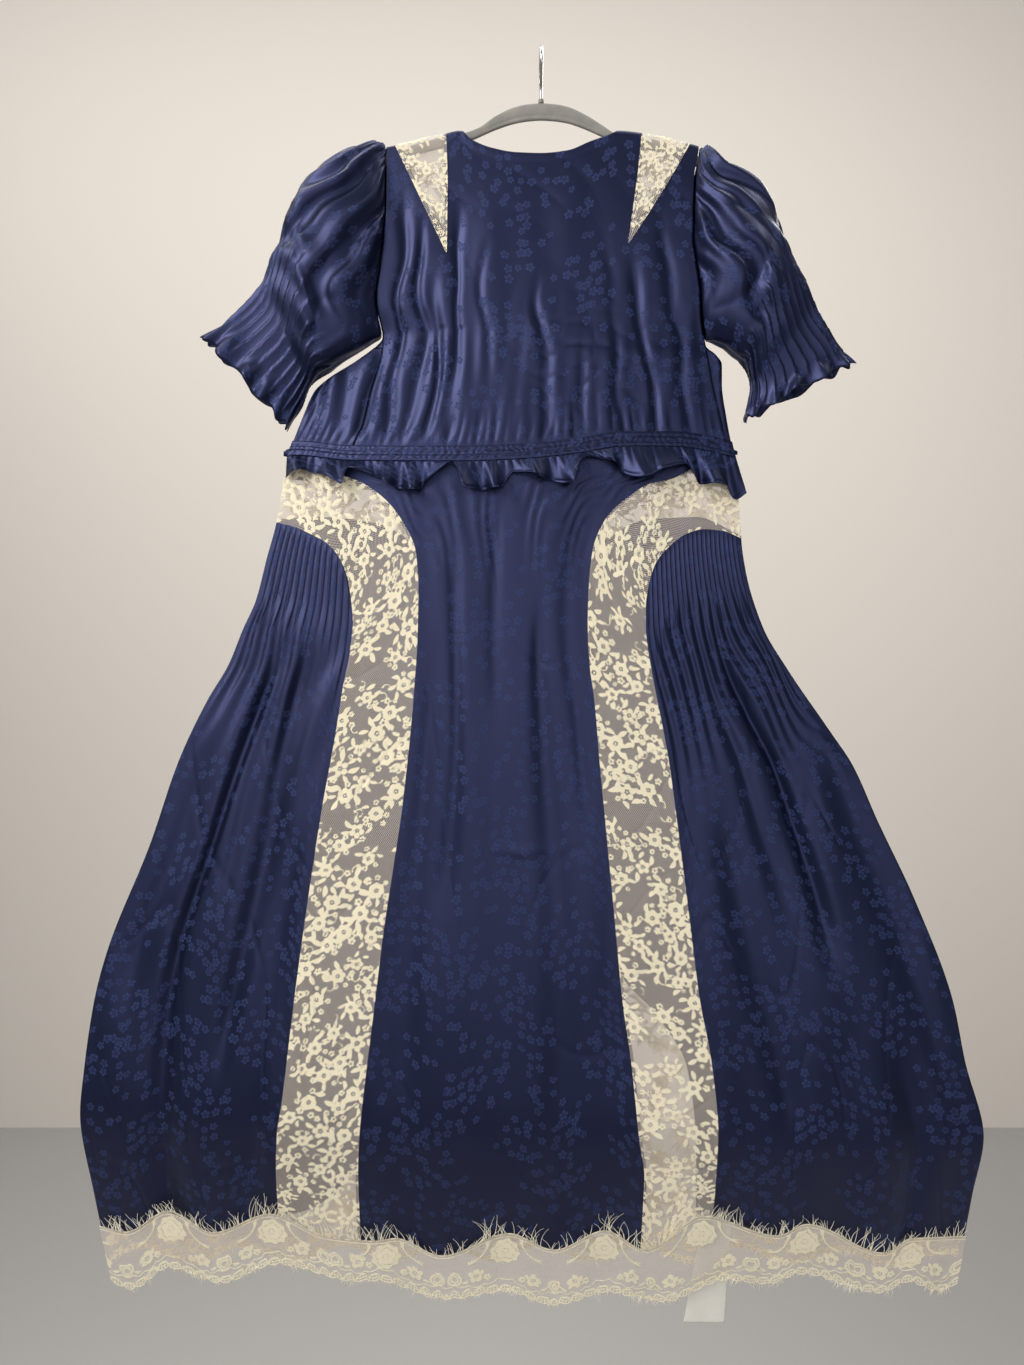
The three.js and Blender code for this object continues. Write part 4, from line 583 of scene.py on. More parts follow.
def sleeve(name, rings, armhole_at, gap, seed, material):
    """A puff sleeve: a tube through rings. Each ring is a rounded box cos a, sin(a)^0.75 on its own axis,
    moved along its normal by gathers at the cap, soft folds, ridged tucks that lie to one side, and a
    waved flare below them. Its first rings hug the armhole."""
    across, along = 220, 74
    angle, ring = np.meshgrid(2 * np.pi * np.arange(across) / across, np.linspace(0, len(rings) - 1, along))
    numbered = np.column_stack([np.arange(len(rings), dtype=float), rings])
    out_x, out_z, in_x, in_z, depth = (read(numbered, ring, k) for k in range(1, 6))
    outwards_x = np.sign(rings[0][0])
    cos, sin = np.cos(angle), np.sin(angle)
    bulge = np.sign(sin) * np.abs(sin) ** mix(0.6, 0.75, ramp(0, 1, ring))
    reach_x, reach_z = (out_x - in_x) / 2, (out_z - in_z) / 2
    half = np.hypot(reach_x, reach_z)
    length = np.hypot(cos / half, bulge / depth)
    along_n, y_n = cos / half / length, bulge / depth / length
    turn = angle + 0.05 * np.sin(ring * 1.9 + seed)
    clear = 1 - 0.7 * ramp(-0.3, -0.8, cos)
    base_x = (out_x + in_x) / 2 + reach_x * cos
    base_z = (out_z + in_z) / 2 + reach_z * cos
    cap_x, cap_z = (base_x - armhole_at(base_z)) * outwards_x + 22, -72 - base_z
    fan, reach = np.arctan2(cap_z, cap_x), np.hypot(cap_x, cap_z)
    fan = fan + 0.035 * np.sin(reach / 26 + seed) + 0.02 * np.sin(reach / 11 + 2 * seed)
    swell = ramp(0, 0.8, ring) * ramp(6.2, 4.2, ring)
    side = np.where(angle < np.pi, 0.0, 2.1)
    folds = 0.55 * np.cos(21 * fan + side + seed) + 0.45 * np.cos(34 * fan + 1.7 * side + 2 * seed)
    soft = 4.6 * swell * (np.abs(folds) ** 0.7 * np.sign(folds)) * mix(0.45, 1, ramp(30, 120, reach))
    pleats = 1.5 * ramp(0, 0.3, ring) * ramp(2.4, 0.6, ring) * np.cos(78 * fan + side)
    round_mm = turn * half * 0.8
    wrinkle = 1.0 * ripple(round_mm, ring * 24, 46, seed, 2) * ramp(0.4, 1.4, ring) * ramp(9.2, 7, ring)
    sharp = -1.6 * creases(base_x, base_z, 70, seed + 1, 2.0, 0.6) * ramp(0.6, 1.5, ring) * ramp(5.5, 4, ring)
    tucked = ramp(3.6, 4.8, ring) * ramp(8.75, 8.35, ring)
    place = np.mod(13.5 * turn / np.pi + 0.05 * np.sin(ring * 2 + seed), 1)
    tucks = 2.5 * tucked * (place**2 - 0.33)
    flare = 4.2 * ramp(8.1, 9, ring) * np.cos(13 * turn + seed + np.sin(3 * turn))
    moved = (pleats + soft + wrinkle + sharp) * clear + tucks + flare * clear - 1.0
    x = (out_x + in_x) / 2 + reach_x / half * (cos * half + along_n * moved)
    z = (out_z + in_z) / 2 + reach_z / half * (cos * half + along_n * moved)
    y = bulge * depth + y_n * moved
    last, before = [(row[0] + row[2], row[1] + row[3]) for row in (rings[-1], rings[-2])]
    down_x, down_z = np.subtract(last, before) / np.hypot(*np.subtract(last, before))
    wavy = 2.8 * ramp(8.2, 9, ring) * np.cos(11 * turn + 2 * np.sin(2 * turn) + seed)
    x, z = x + down_x * wavy, z + down_z * wavy
    hug = np.interp(ring, [0, 1, 2, 3], [1, 0.45, 0.12, 0])
    x = mix(x, armhole_at(z) + outwards_x * gap, hug)
    outer = np.stack([x, y, z], -1)
    normal = normals(outer, closed=True)
    centre = outer.mean(axis=1, keepdims=True)
    facing = np.sign(((outer - centre) * normal).sum())
    return shell(name, outer, outer - SLEEVE_CLOTH * facing * normal, material, closed=True)


def round_waist(sign):
    """Even numbers from 0 to 1 across the waist, closer on the near side."""
    return spaced(480, 1.1 if sign == NEAR else 2.2)


def casing(name, sign, seed, material):
    """The gathered casing: a strip over the waist seam, closed towards its top edge, ruched by uneven
    puckers and pressed in along its two rows of stitching."""
    top = edge_line(left_at, right_at, lambda x: waist_at(x) + CASING_ABOVE)
    bottom = edge_line(left_at, right_at, lambda x: waist_at(x) - CASING_BELOW)

    def relief(u, x, z):
        down = np.clip((waist_at(x) + CASING_ABOVE - z) / (CASING_ABOVE + CASING_BELOW), 0, 1)
        shut = (OVER_LACE - 0.6) * (1 - np.minimum(1, 2 * down))
        place = u * PUCKERS + 0.5 * ripple(x, z * 2, 24, seed)
        pucker = 0.45 * (np.abs(np.sin(np.pi * place)) - 0.5) * (0.35 + np.sin(np.pi * down))
        rows = 0.8 * (bump(down - 0.3, 0.05) + bump(down - 0.68, 0.05))
        return OVER_LACE + CASING_THICK + 0.2 - shut + pucker - rows

    outer = panel(sign, left_at, right_at, top, bottom, round_waist(sign), np.linspace(0, 1, 17), relief)
    return cloth(name, sign, outer, material, CASING_CLOTH)


def ruffle(name, sign, waves, lower_edge, seed, material):
    """The ruffle: waves that grow from the casing down, 6.5 v (1 - cos(2 pi n u')), with finer ripples
    and a rolled edge. u' runs unevenly, as a gathered strip does."""
    top = edge_line(left_at, right_at, lambda x: waist_at(x) - CASING_BELOW - SEAM)
    u, v = np.meshgrid(round_waist(sign), np.linspace(0, 1, 26))
    first, last = RUFFLE_EDGE[0, 0], RUFFLE_EDGE[-1, 0]
    low_x = mix(first, last, u)
    swing = 3.2 * v**2 * np.sin(2 * np.pi * waves * u + seed) * ramp(0, 0.04, u) * ramp(1, 0.96, u)
    x = mix(mix(left_at(top(0.0)), right_at(top(1.0)), u), low_x, v) + swing
    seam = -424.0
    x = np.clip(x, min(left_at(seam), first) - 2, max(right_at(seam), last) + 2)
    z = mix(top(u), lower_edge(low_x), v)
    place = waves * u + 0.22 * ripple(low_x, 0 * z, 70, seed)
    wave = RUFFLE_WAVE * v * (1 - np.cos(2 * np.pi * place))
    fine = 1.3 * ripple(low_x, z, 15, seed + 1, 3) * v + 0.9 * (1 - v) * np.abs(np.sin(np.pi * PUCKERS * u))
    lifted = OVER_LACE + RUFFLE_THICK + wave + RUFFLE_OVERHANG * v + fine - 0.8 * bump(v - 0.93, 0.04)
    return cloth(name, sign, np.stack([x, face_y(sign, x, z, lifted), z], -1), material)


def hanging(folds, u, z, seed):
    """Soft hanging folds, as distance inwards: depth exp(-((u - at - wander) / width)^2) between their
    heights."""
    total = 0.0
    for at, depth, start, end in folds:
        wander = 0.022 * np.sin(z / 83 + seed + at * 30)
        width = 0.055 * (1 + 0.35 * np.sin(z / 140 + at * 50 + seed))
        reach = ramp(start, start - 90, z) * ramp(end - 40, end + 60, z)
        total = total + 1.2 * depth * bump(u - at - wander, width) * reach
    return total * ramp(0, 0.12, u) * ramp(1, 0.88, u)


def side_panel(name, key, sign, left, right, hem_top, seed, material, spacing):
    """A side panel of the skirt: sawtooth pin-tucks that lie to one side, open into soft pleats, and fade
    into hanging folds, with a few creases."""
    count, raised, hold, opened = TUCKS[key]
    top = line_of(TUCKED_TOPS[key])
    bottom = edge_line(left, right, lambda x: hem_top(x) - LAP)

    def relief(u, x, z):
        below = top(u) - z
        clear = ramp(0, 8, below - LAP) * ramp(0.03, 0.07, u) * ramp(0.97, 0.93, u)
        place = np.mod(count * u, 1)
        uneven = 14 * np.sin(9 * np.floor(count * u) + seed)
        tucks = 1.45 * raised * ramp(opened + uneven, hold + uneven, below) * (place**2.2 - 0.3) * clear
        pleats = 1.3 * ramp(hold - 20, opened, below) * ramp(hold + 210, opened + 20, below) * clear
        pleats = pleats * np.cos(2 * np.pi * (count * 0.5 * u + 0.4 * ripple(x, z, 90, seed, 4)))
        edges = ramp(0, 0.08, u) * ramp(1, 0.92, u) * ramp(opened, opened + 90, below)
        long = 1.2 * ripple(x, z, 85, seed + 1, 5) * edges
        lines = 0.9 * creases(x, z + 0.4 * x, 120, seed + 2, 2.5, 0.12) * edges
        return tucks + pleats + long - lines - hanging(SKIRT_FOLDS[key], u, z, seed)

    v = np.concatenate([np.linspace(0, 0.2, int(150 / spacing[1]), endpoint=False),
                        np.linspace(0.2, 1, int(620 / spacing[1] / 1.6))])
    outer = panel(sign, left, right, top, bottom, spaced(count * 10 * spacing[0], 1), v, relief)
    return cloth(name, sign, outer, material)


def centre_panel(name, key, sign, left, right, hem_top, seed, material, spacing):
    """The centre panel of the skirt: gathers below the casing that fade, hanging folds and faint creases."""
    top = edge_line(left, right, lambda x: waist_at(x) - 3.0)
    bottom = edge_line(left, right, lambda x: hem_top(x) - LAP)

    def relief(u, x, z):
        below = waist_at(x) - z
        edges = ramp(0, 0.08, u) * ramp(1, 0.92, u)
        pleats = 0.5 * ramp(14, 40, below) * ramp(150, 50, below)
        pleats = pleats * np.cos(2 * np.pi * (13 * u + 0.6 * ripple(x, z, 60, seed, 4)))
        long = 1.3 * ripple(x, z, 60, seed + 1, 5) * ramp(20, 120, below)
        lines = 0.45 * creases(x + 0.2 * z, z - 0.5 * x, 170, seed + 2, 1.6, 0.1) * ramp(40, 90, below)
        seat = 0.9 * bump(z + 845 - 0.1 * np.abs(x + 20), 5) * bump(x + 20, 26)
        moved = (pleats + long - lines + seat) * edges * ramp(14, 30, below)
        return moved - hanging(SKIRT_FOLDS[key], u, z, seed)

    outer = panel(sign, left, right, top, bottom, spaced(270, spacing[0]), spaced(860, spacing[1]), relief)
    return cloth(name, sign, outer, material)


def inside_band(rows, lap):
    """x of the centre panel's edge under a lace band."""
    return lambda z: read(rows, z, 0, 1) + lap


def under_band(rows, arch_row, lap):
    """x of a side panel's edge under a lace band: the band's lower run, continued straight up past the
    arch."""
    lower = rows[arch_row:]
    return lambda z: read(lower, np.minimum(z, lower[0, 3]), 2, 3) + lap


OUTSIDE = -6.0  # a lace field's value far from any motif. It is in mm, and above 0 inside a motif


def stamp(field, p, q, place, reach, shape):
    """Raises the field to a motif's own distance wherever the motif reaches."""
    near = (np.abs(p - place[0]) < reach) & (np.abs(q - place[1]) < reach)
    field[near] = np.maximum(field[near], shape(p[near] - place[0], q[near] - place[1]))


def flower(radius, petals, turn):
    """A flower: equal discs round a ring, found by folding the angle onto one petal, with a dot in its eye."""
    def shape(p, q):
        away, angle = np.hypot(p, q), np.arctan2(q, p) + turn
        folded = np.mod(angle, 2 * np.pi / petals) - np.pi / petals
        petal = 0.37 * radius - np.hypot(away * np.cos(folded) - 0.63 * radius, away * np.sin(folded))
        return np.maximum(petal, 0.12 * radius - away)
    return shape


def leaf(length, width, turn, bend=0.0):
    """A leaf along a bent axis: width (1 - (s / length)^2) less the distance from the axis."""
    def shape(p, q):
        s = p * np.cos(turn) + q * np.sin(turn)
        t = q * np.cos(turn) - p * np.sin(turn) - bend * (s / length) ** 2 * length
        return width * (1 - (s / length) ** 2) - np.abs(t)
    return shape


def curl(radius, width, start, sweep):
    """An arc of a circle with thicker ends: width less the distance from the circle, within its sweep."""
    def shape(p, q):
        away, angle = np.hypot(p, q), np.mod(np.arctan2(q, p) - start, 2 * np.pi)
        share = angle / sweep
        thick = width * (0.75 + 0.9 * (2 * share - 1) ** 4)
        return np.where(share < 1, thick - np.abs(away - radius), -9.0)
    return shape


def spray(field, p, q, place, size, random):
    """One spray of the allover lace: a flower ringed by small flowers and leaves, with a curled stem."""
    turn = random.uniform(0, 2 * np.pi)
    stamp(field, p, q, place, size * 1.1, flower(size * 0.84, int(random.integers(5, 8)), turn))
    for k in range(7):
        angle = turn + k * 2 * np.pi / 7 + random.uniform(-0.2, 0.2)
        away = size * random.uniform(1.12, 1.4)
        at = (place[0] + away * np.cos(angle), place[1] + away * np.sin(angle))
        small = size * random.uniform(0.3, 0.44)
        if random.uniform() < 0.45:
            stamp(field, p, q, at, size, flower(small, 5, angle))
        else:
            lean_of, bend = random.uniform(-0.8, 0.8), random.uniform(-0.4, 0.4)
            stamp(field, p, q, at, size, leaf(small * 1.6, small * 0.66, angle + lean_of, bend))
    angle = random.uniform(0, 2 * np.pi)
    at = (place[0] + size * 1.9 * np.cos(angle), place[1] + size * 1.9 * np.sin(angle))
    stamp(field, p, q, at, size, curl(size * 0.42, 0.9, angle, random.uniform(2.5, 4.5)))


def allover(p, q, seed, size=9.6):
    """The lace of the bands: sprays on a jittered brick grid whose rows slant across the band. One in ten
    is left out."""
    random = np.random.default_rng(seed)
    field = np.full(p.shape, OUTSIDE)
    step_p, step_q = size * 3.15, size * 2.75
    first_p, last_p = np.floor(p.min() / step_p), np.ceil(p.max() / step_p)
    first_q, last_q = np.floor((q.min() - 40) / step_q), np.ceil((q.max() + 40) / step_q)
    for j in range(int(first_q) - 1, int(last_q) + 2):
        for i in range(int(first_p) - 1, int(last_p) + 2):
            at_p = (i + 0.5 * (j % 2) + random.uniform(-0.16, 0.16)) * step_p
            at_q = (j + random.uniform(-0.16, 0.16)) * step_q + 0.35 * at_p
            scale = random.uniform(0.85, 1.15)
            if random.uniform() > 0.1:
                spray(field, p, q, (at_p, at_q), size * scale, random)
    return field


def rose(radius):
    """A rose medallion: a scalloped disc with two rings of petals drawn by fine gaps, and a beaded eye."""
    def shape(p, q):
        away, angle = np.hypot(p, q), np.arctan2(q, p)
        edge = radius * (0.93 + 0.07 * np.cos(9 * angle))
        body = edge - away
        gap = np.abs(away - radius * (0.62 + 0.07 * np.cos(5 * angle + 1))) - 0.45
        spokes = np.abs(np.sin(4.5 * angle + 0.4)) * away * 0.45 - 0.42
        spokes = np.where(away > radius * 0.64, spokes, 9.0)
        beads = np.hypot(away - radius * 0.2, away * np.abs(np.sin(3 * angle)) * 0.33) - 0.8
        beads = np.where(away < radius * 0.34, beads, 9.0)
        return np.minimum(np.minimum(body, gap), np.minimum(spokes, beads))
    return shape


def hem_field(along, below, above):
    """The hem lace, from the place along its repeat, the depth below its top edge and the height above its
    bottom edge: corded edges, a rose under each peak, curls and flowers beside it, a ring between two
    roses, and a border of small arches with round cells."""
    field = np.full(along.shape, OUTSIDE)
    field = np.maximum(field, 1.0 - np.abs(below - 1.0))
    field = np.maximum(field, 0.6 - np.abs(below - 4.6))
    for sign in (-1, 1):
        beside = sign * along
        stamp(field, beside, below, (33.0, 7.0), 20, curl(15.0, 1.5, 1.25, 2.0))
        stamp(field, beside, below, (18.5, 10.0), 8, flower(2.8, 3, 0))
        stamp(field, beside, below, (38.5, 21.0), 8, flower(2.8, 3, 0))
        stamp(field, beside, above, (31.0, 26.0), 12, flower(9.2, 5, 0.3))
        stamp(field, beside, above, (19.0, 21.0), 8, flower(4.6, 5, 1.1))
        stamp(field, beside, above, (43.0, 19.0), 8, leaf(5, 1.8, 0.5))
    away = np.hypot(HEM_REPEAT / 2 - np.abs(along), above - 25.0)
    field = np.maximum(field, 1.3 - np.abs(away - 7.6))
    field = np.maximum(field, 1.1 - np.abs(away - 4.2))
    stamp(field, along, below, (0.0, 23.0), 20, rose(17.0))
    drape = 13.5 + 2.6 * np.cos(4 * np.pi * along / HEM_REPEAT)
    field = np.maximum(field, 0.85 - np.abs(above - drape))
    arch = HEM_REPEAT / 8
    inside = np.mod(along + arch / 2, arch) - arch / 2
    bow = np.hypot(inside, (above - 1.5) * 0.8)
    field = np.maximum(field, np.where(above < drape, 0.8 - np.abs(bow - arch * 0.43), OUTSIDE))
    between_cells = np.hypot(np.mod(inside + 1.7, 3.4) - 1.7, np.mod(above - 0.6, 3.6) - 1.8) - 1.35
    border = (above < drape) & (bow < arch * 0.43)
    field = np.maximum(field, np.where(border, np.minimum(between_cells, 0.9), OUTSIDE))
    return np.maximum(field, 0.9 - above) + 0.12


def inset(name, sign, shape, seed, step, material):
    """A triangular lace inset, lapped over the satin round its notch: a panel between its two edges."""
    outer_at, inner_at = inset_edges(shape)
    left, right = (outer_at, inner_at) if shape[0] < 0 else (inner_at, outer_at)
    top = edge_line(left, right, lambda x: shoulder_at(x) - 1.3)
    points = panel(sign, left, right, top, lambda u: shape[4] + 0 * u, spaced(55, step), spaced(128, step),
                   lambda u, x, z: 1.5 * LAYER_GAP + 0.15 * ripple(x, z, 30, seed))
    place = measure(points)
    return lace_sheet(name, sign, points, place, allover(place[..., 0], place[..., 1], seed, 7.0), material)


def band(name, sign, rows, hem_top, seed, step, material):
    """A lace band through its crossings, lapped over the satin. Its last crossing follows the hem line."""
    crossing = np.arange(len(rows), dtype=float)
    numbered = np.column_stack([crossing, rows])
    mid = (rows[:, :2] + rows[:, 2:]) / 2
    run = np.concatenate([[0], np.cumsum(np.hypot(*np.diff(mid, axis=0).T))])
    at = np.interp(np.linspace(0, run[-1], int(run[-1] / step)), run, crossing)
    width = np.hypot(rows[:, 0] - rows[:, 2], rows[:, 1] - rows[:, 3]).mean()
    u, v = np.meshgrid(spaced(width, step), at)
    x = mix(read(numbered, v, 1), read(numbered, v, 3), u)
    z = mix(read(numbered, v, 2), read(numbered, v, 4), u)
    z = mix(z, hem_top(x) - LAP, ramp(len(rows) - 2, len(rows) - 1, v))
    inner = ramp(0, 0.1, u) * ramp(1, 0.9, u)
    lifted = LAYER_GAP + 0.3 + 0.5 * inner * ripple(x, z, 45, seed)
    lifted = lifted - 1.2 * inner * creases(x, z, 80, seed + 1, 1.5, 0.2)
    points = np.stack([x, face_y(sign, x, z, lifted), z], -1)
    place = measure(points)
    return lace_sheet(name, sign, points, place, allover(place[..., 0], place[..., 1], seed), material)


def hem_lace(name, sign, hem_top, hem_bottom, peaks, step, material):
    """The scalloped hem lace, lapped over the satin and the bands. Its bottom edge hangs in small lobes."""
    top = edge_line(left_at, right_at, hem_top)
    bottom = edge_line(left_at, right_at, hem_bottom)

    low = -1330.0

    def repeat_of(x):
        """The place in the repeat, from -0.5 to 0.5, with 0 at a peak."""
        phase = np.interp(x, peaks, np.arange(len(peaks), dtype=float))
        return phase - np.round(phase)

    def lobed(u):
        x = mix(left_at(low), right_at(low), u)
        return bottom(u) - 3.0 * np.abs(np.cos(8 * np.pi * repeat_of(x)))

    def relief(u, x, z):
        below = top(u) - z
        return OVER_LACE + 0.5 + 1.0 * ripple(x, z, 50, 91, 2) * ramp(10, 40, below)

    points = panel(sign, left_at, right_at, top, lobed, spaced(950, step), spaced(72, step), relief)
    x, z = points[..., 0], points[..., 2]
    below, above = top(np.linspace(0, 1, x.shape[1])) - z, z - z[-1]
    period = np.interp(x, (peaks[:-1] + peaks[1:]) / 2, np.diff(peaks))
    field = hem_field(repeat_of(x) * period, below, above)
    return lace_sheet(name, sign, points, np.stack([x, z], -1), field, material)


def eyelashes(name, sign, edge, up, count, long, lift, seed, material):
    """Eyelash fringe: thin three-sided threads that stand on the lace's edge, bend over and taper to a
    point. A point at t along a thread is length t from its root, moved aside by tilt t + bend t^2."""
    random = np.random.default_rng(seed)
    steps, hem = 6, -1265.0
    start, end = left_at(hem) + 6, right_at(hem) - 6
    root = np.sort(random.uniform(start, end, count))[:, None, None]
    clump = 0.65 + 0.5 * np.abs(ripple(root, 0 * root, 38, seed))
    length = long * clump * random.uniform(0.55, 1.1, count)[:, None, None]
    tilt = 0.55 * ripple(root, 0 * root, 26, seed + 1) + random.normal(0, 0.28, count)[:, None, None]
    bend = random.normal(0, 0.5, count)[:, None, None]
    out = random.uniform(0.0, 1.6, count)[:, None, None]
    t = np.linspace(0, 1, steps)[None, :, None]
    side = (np.arange(3) * 2 * np.pi / 3)[None, None, :]
    radius = 0.55 * (1 - 0.7 * t)
    lean_by = np.clip(tilt * t + bend * t**2, -0.8, 0.8)
    x = root + length * lean_by * 0.7 + radius * np.cos(side)
    z = edge(root) + up * (length * (t - 0.18 * np.abs(lean_by) * t) - 1.2) + 0 * side
    y = face_y(sign, x, z, lift + out * t + radius * np.sin(side) + 0.3)
    points = np.stack(np.broadcast_arrays(x, y, z), -1)
    ids = np.arange(count * steps * 3).reshape(count, steps, 3)
    ring = np.concatenate([ids, ids[..., :1]], -1)
    quads = between(ring[:, :-1], ring[:, 1:])
    ends = np.concatenate([ids[:, 0], ids[:, -1][:, ::-1]])
    flat = points.reshape(-1, 3)
    turned = outwards(flat, quads)
    if turned is not quads:
        ends = ends[:, ::-1]
    return make_piece(name, flat, turned, flat[turned.ravel()][:, [0, 2]], material, caps=ends)


def care_label(name, material):
    """The blank label: a strip that hangs behind the hem lace, slightly curled, with its long edges bent back a
    little.
    """
    u, v = np.meshgrid(np.linspace(-1, 1, 25), np.linspace(0, 1, 61))
    left, right = mix(LABEL_TOP[0], LABEL_BOTTOM[0], v), mix(LABEL_TOP[1], LABEL_BOTTOM[1], v)
    x = (left + right) / 2 + (right - left) / 2 * u
    z = mix(LABEL_TOP[2], LABEL_BOTTOM[2], v)
    free = ramp(0.55, 0.8, v)
    wave = free * (0.9 * np.sin(5.5 * v + 0.6 * u) + 0.5 * u * np.sin(9 * v))
    wave = wave - 0.35 * bump(np.abs(u) - 0.9, 0.05)
    outer = np.stack([x, face_y(NEAR, x, z, -SATIN - TAPE + wave), z], -1)
    return cloth(name, NEAR, outer, material, TAPE)


def loft(name, rings, material):
    """A closed body through rings of points, capped by a short dome at each end."""
    def dome(ring, back):
        centre = ring.mean(axis=0)
        push = centre - back.mean(axis=0)
        push = push / max(np.linalg.norm(push), 1e-9) * np.linalg.norm(ring - centre, axis=1).mean() * 0.45
        return [centre + (ring - centre) * s + push * (1 - s**2) ** 0.5 for s in (0.9, 0.65, 0.3, 0.02)]

    whole = np.array(dome(rings[0], rings[1])[::-1] + list(rings) + dome(rings[-1], rings[-2]))
    rows, columns = whole.shape[:2]
    ids = np.arange(rows * columns).reshape(rows, columns)
    ids = np.concatenate([ids, ids[:, :1]], 1)
    quads = between(ids[:-1], ids[1:])
    points = whole.reshape(-1, 3)
    turned = outwards(points, quads)
    place = measure(np.concatenate([whole, whole[:, :1]], 1)).reshape(-1, 2)
    corner = np.arange(rows * (columns + 1)).reshape(rows, columns + 1)
    spots = between(corner[:-1], corner[1:])
    spots = spots if turned is quads else spots[:, ::-1]
    ends = [ids[0, :-1], ids[-1, :-1][::-1]]
    ends = ends if turned is quads else [end[::-1] for end in ends]
    return make_piece(name, points, turned, place[spots.ravel()], material, caps=ends)


def hanger_body(name, material):
    """The hanger: an arch with two arms. Its section is a rounded bar with a ridge along its lower edge."""
    first, last = HANGER[0, 0], HANGER[-1, 0]
    x = np.concatenate([np.linspace(first, -100, 40), np.linspace(-98, 98, 110), np.linspace(100, last, 40)])
    top, tall = read(HANGER, x), read(HANGER, x, 2)
    angle = np.arange(36) * 2 * np.pi / 36
    cos, sin = np.cos(angle), np.sin(angle)
    bar = HANGER_HALF * np.sign(cos) * np.abs(cos) ** 0.5
    flange = 1 - 0.28 * bump(sin + 0.45, 0.16)
    arm = ramp(40, 70, np.abs(x))[:, None]
    y = bar * mix(flange, 1.0, arm)
    z = (top - tall / 2)[:, None] + (tall / 2)[:, None] * np.sign(sin) * np.abs(sin) ** 0.8
    points = np.stack(np.broadcast_arrays(x[:, None], y, z), -1)
    return loft(name, points, material)


def hook(name, material):
    """The hook: a wire carried along a stem, a swing to the near side, and a bend of 195 degrees."""
    radius = HOOK_BEND + HOOK_WIRE
    centre = HOOK_WIRE - radius
    bend = np.radians(np.linspace(10, 205, 60))
    arc = np.stack([0 * bend, -radius * np.cos(bend), centre + radius * np.sin(bend)], -1)
    start, end = np.array([0, 0, STEM_BOTTOM + 7.0]), arc[0]
    t = np.linspace(0, 1, 24)[1:-1, None]
    swing = mix(start, end, t) + np.array([0, -1.9, 0]) * np.sin(np.pi * t) * ramp(0, 1, t)
    swing[:, 1] = mix(0.0, end[1], ramp(0, 1, t[:, 0])) - 1.2 * np.sin(np.pi * t[:, 0])
    path = np.concatenate([[[0, 0, STEM_BOTTOM]], [start], swing, arc])
    tangent = np.gradient(path, axis=0)
    tangent /= np.linalg.norm(tangent, axis=1, keepdims=True)
    across = np.array([1.0, 0, 0])
    upright = np.cross(tangent, across)
    angle = np.arange(20) * 2 * np.pi / 20
    cos, sin = np.cos(angle)[None, :, None], np.sin(angle)[None, :, None]
    rings = path[:, None] + HOOK_WIRE * (cos * across + sin * upright[:, None])
    return loft(name, rings, material)


def collar(name, material):
    """The collar under the hook: a turned profile with a groove, between the arch and the stem."""
    bottom, top = read(HANGER, 0.0) + SEAM, STEM_BOTTOM - SEAM
    share = np.linspace(0, 1, 20)
    radius = COLLAR_RADIUS * (1 - 0.1 * bump(share - 0.45, 0.07) - 0.22 * ramp(0.72, 1, share))
    around = 40
    angle = np.arange(around) * 2 * np.pi / around
    x, y, z = radius[:, None] * np.cos(angle), radius[:, None] * np.sin(angle), mix(bottom, top, share)[:, None]
    rings = np.stack(np.broadcast_arrays(x, y, z), -1)
    ids = np.arange(len(share) * around).reshape(-1, around)
    closed = np.concatenate([ids, ids[:, :1]], 1)
    points = rings.reshape(-1, 3)
    quads = between(closed[:-1], closed[1:])
    turned = outwards(points, quads)
    ends = [ids[0], ids[-1][::-1]] if turned is quads else [ids[0][::-1], ids[-1]]
    place = points[turned.ravel()][:, [0, 2]]
    return make_piece(name, points, turned, place, material, caps=ends)


def linear(hex_colour):
    """sRGB hex to linear RGB: c / 12.92, or ((c + 0.055) / 1.055)^2.4 above 0.04045."""
    values = np.array([int(hex_colour[i:i + 2], 16) / 255 for i in (0, 2, 4)])
    return tuple(np.where(values > 0.04045, ((values + 0.055) / 1.055) ** 2.4, values / 12.92).tolist())


def tint(colour, factor=1.0):
    """A linear colour times a factor, with an alpha of 1."""
    return (*[factor * c for c in colour], 1)


def node(tree, kind, inputs=(), **settings):
    """Adds a node. Its inputs are given in order or by name. Each is a value, a socket that is linked to
    it, or a node whose first output is linked to it."""
    made = tree.nodes.new("ShaderNode" + kind)
    for key, value in settings.items():
        setattr(made, key, value)
    for key, value in inputs.items() if isinstance(inputs, dict) else enumerate(inputs):
        if isinstance(value, bpy.types.Node):
            value = value.outputs[0]
        if isinstance(value, bpy.types.NodeSocket):
            tree.links.new(value, made.inputs[key])
        else:
            made.inputs[key].default_value = value
    return made


def new_material(name):
    """An empty node material and its tree."""
    material = bpy.data.materials.new(name)
    material.use_nodes = True
    material.node_tree.nodes.clear()
    return material, material.node_tree


def cloth_place(tree, x_mm, y_mm):
    """The cloth coordinates in units of x_mm across and y_mm along the cloth."""
    uv = node(tree, "UVMap", uv_map="cloth")
    return node(tree, "Mapping", {"Vector": uv, "Scale": (1000 / x_mm, 1000 / y_mm, 1)})


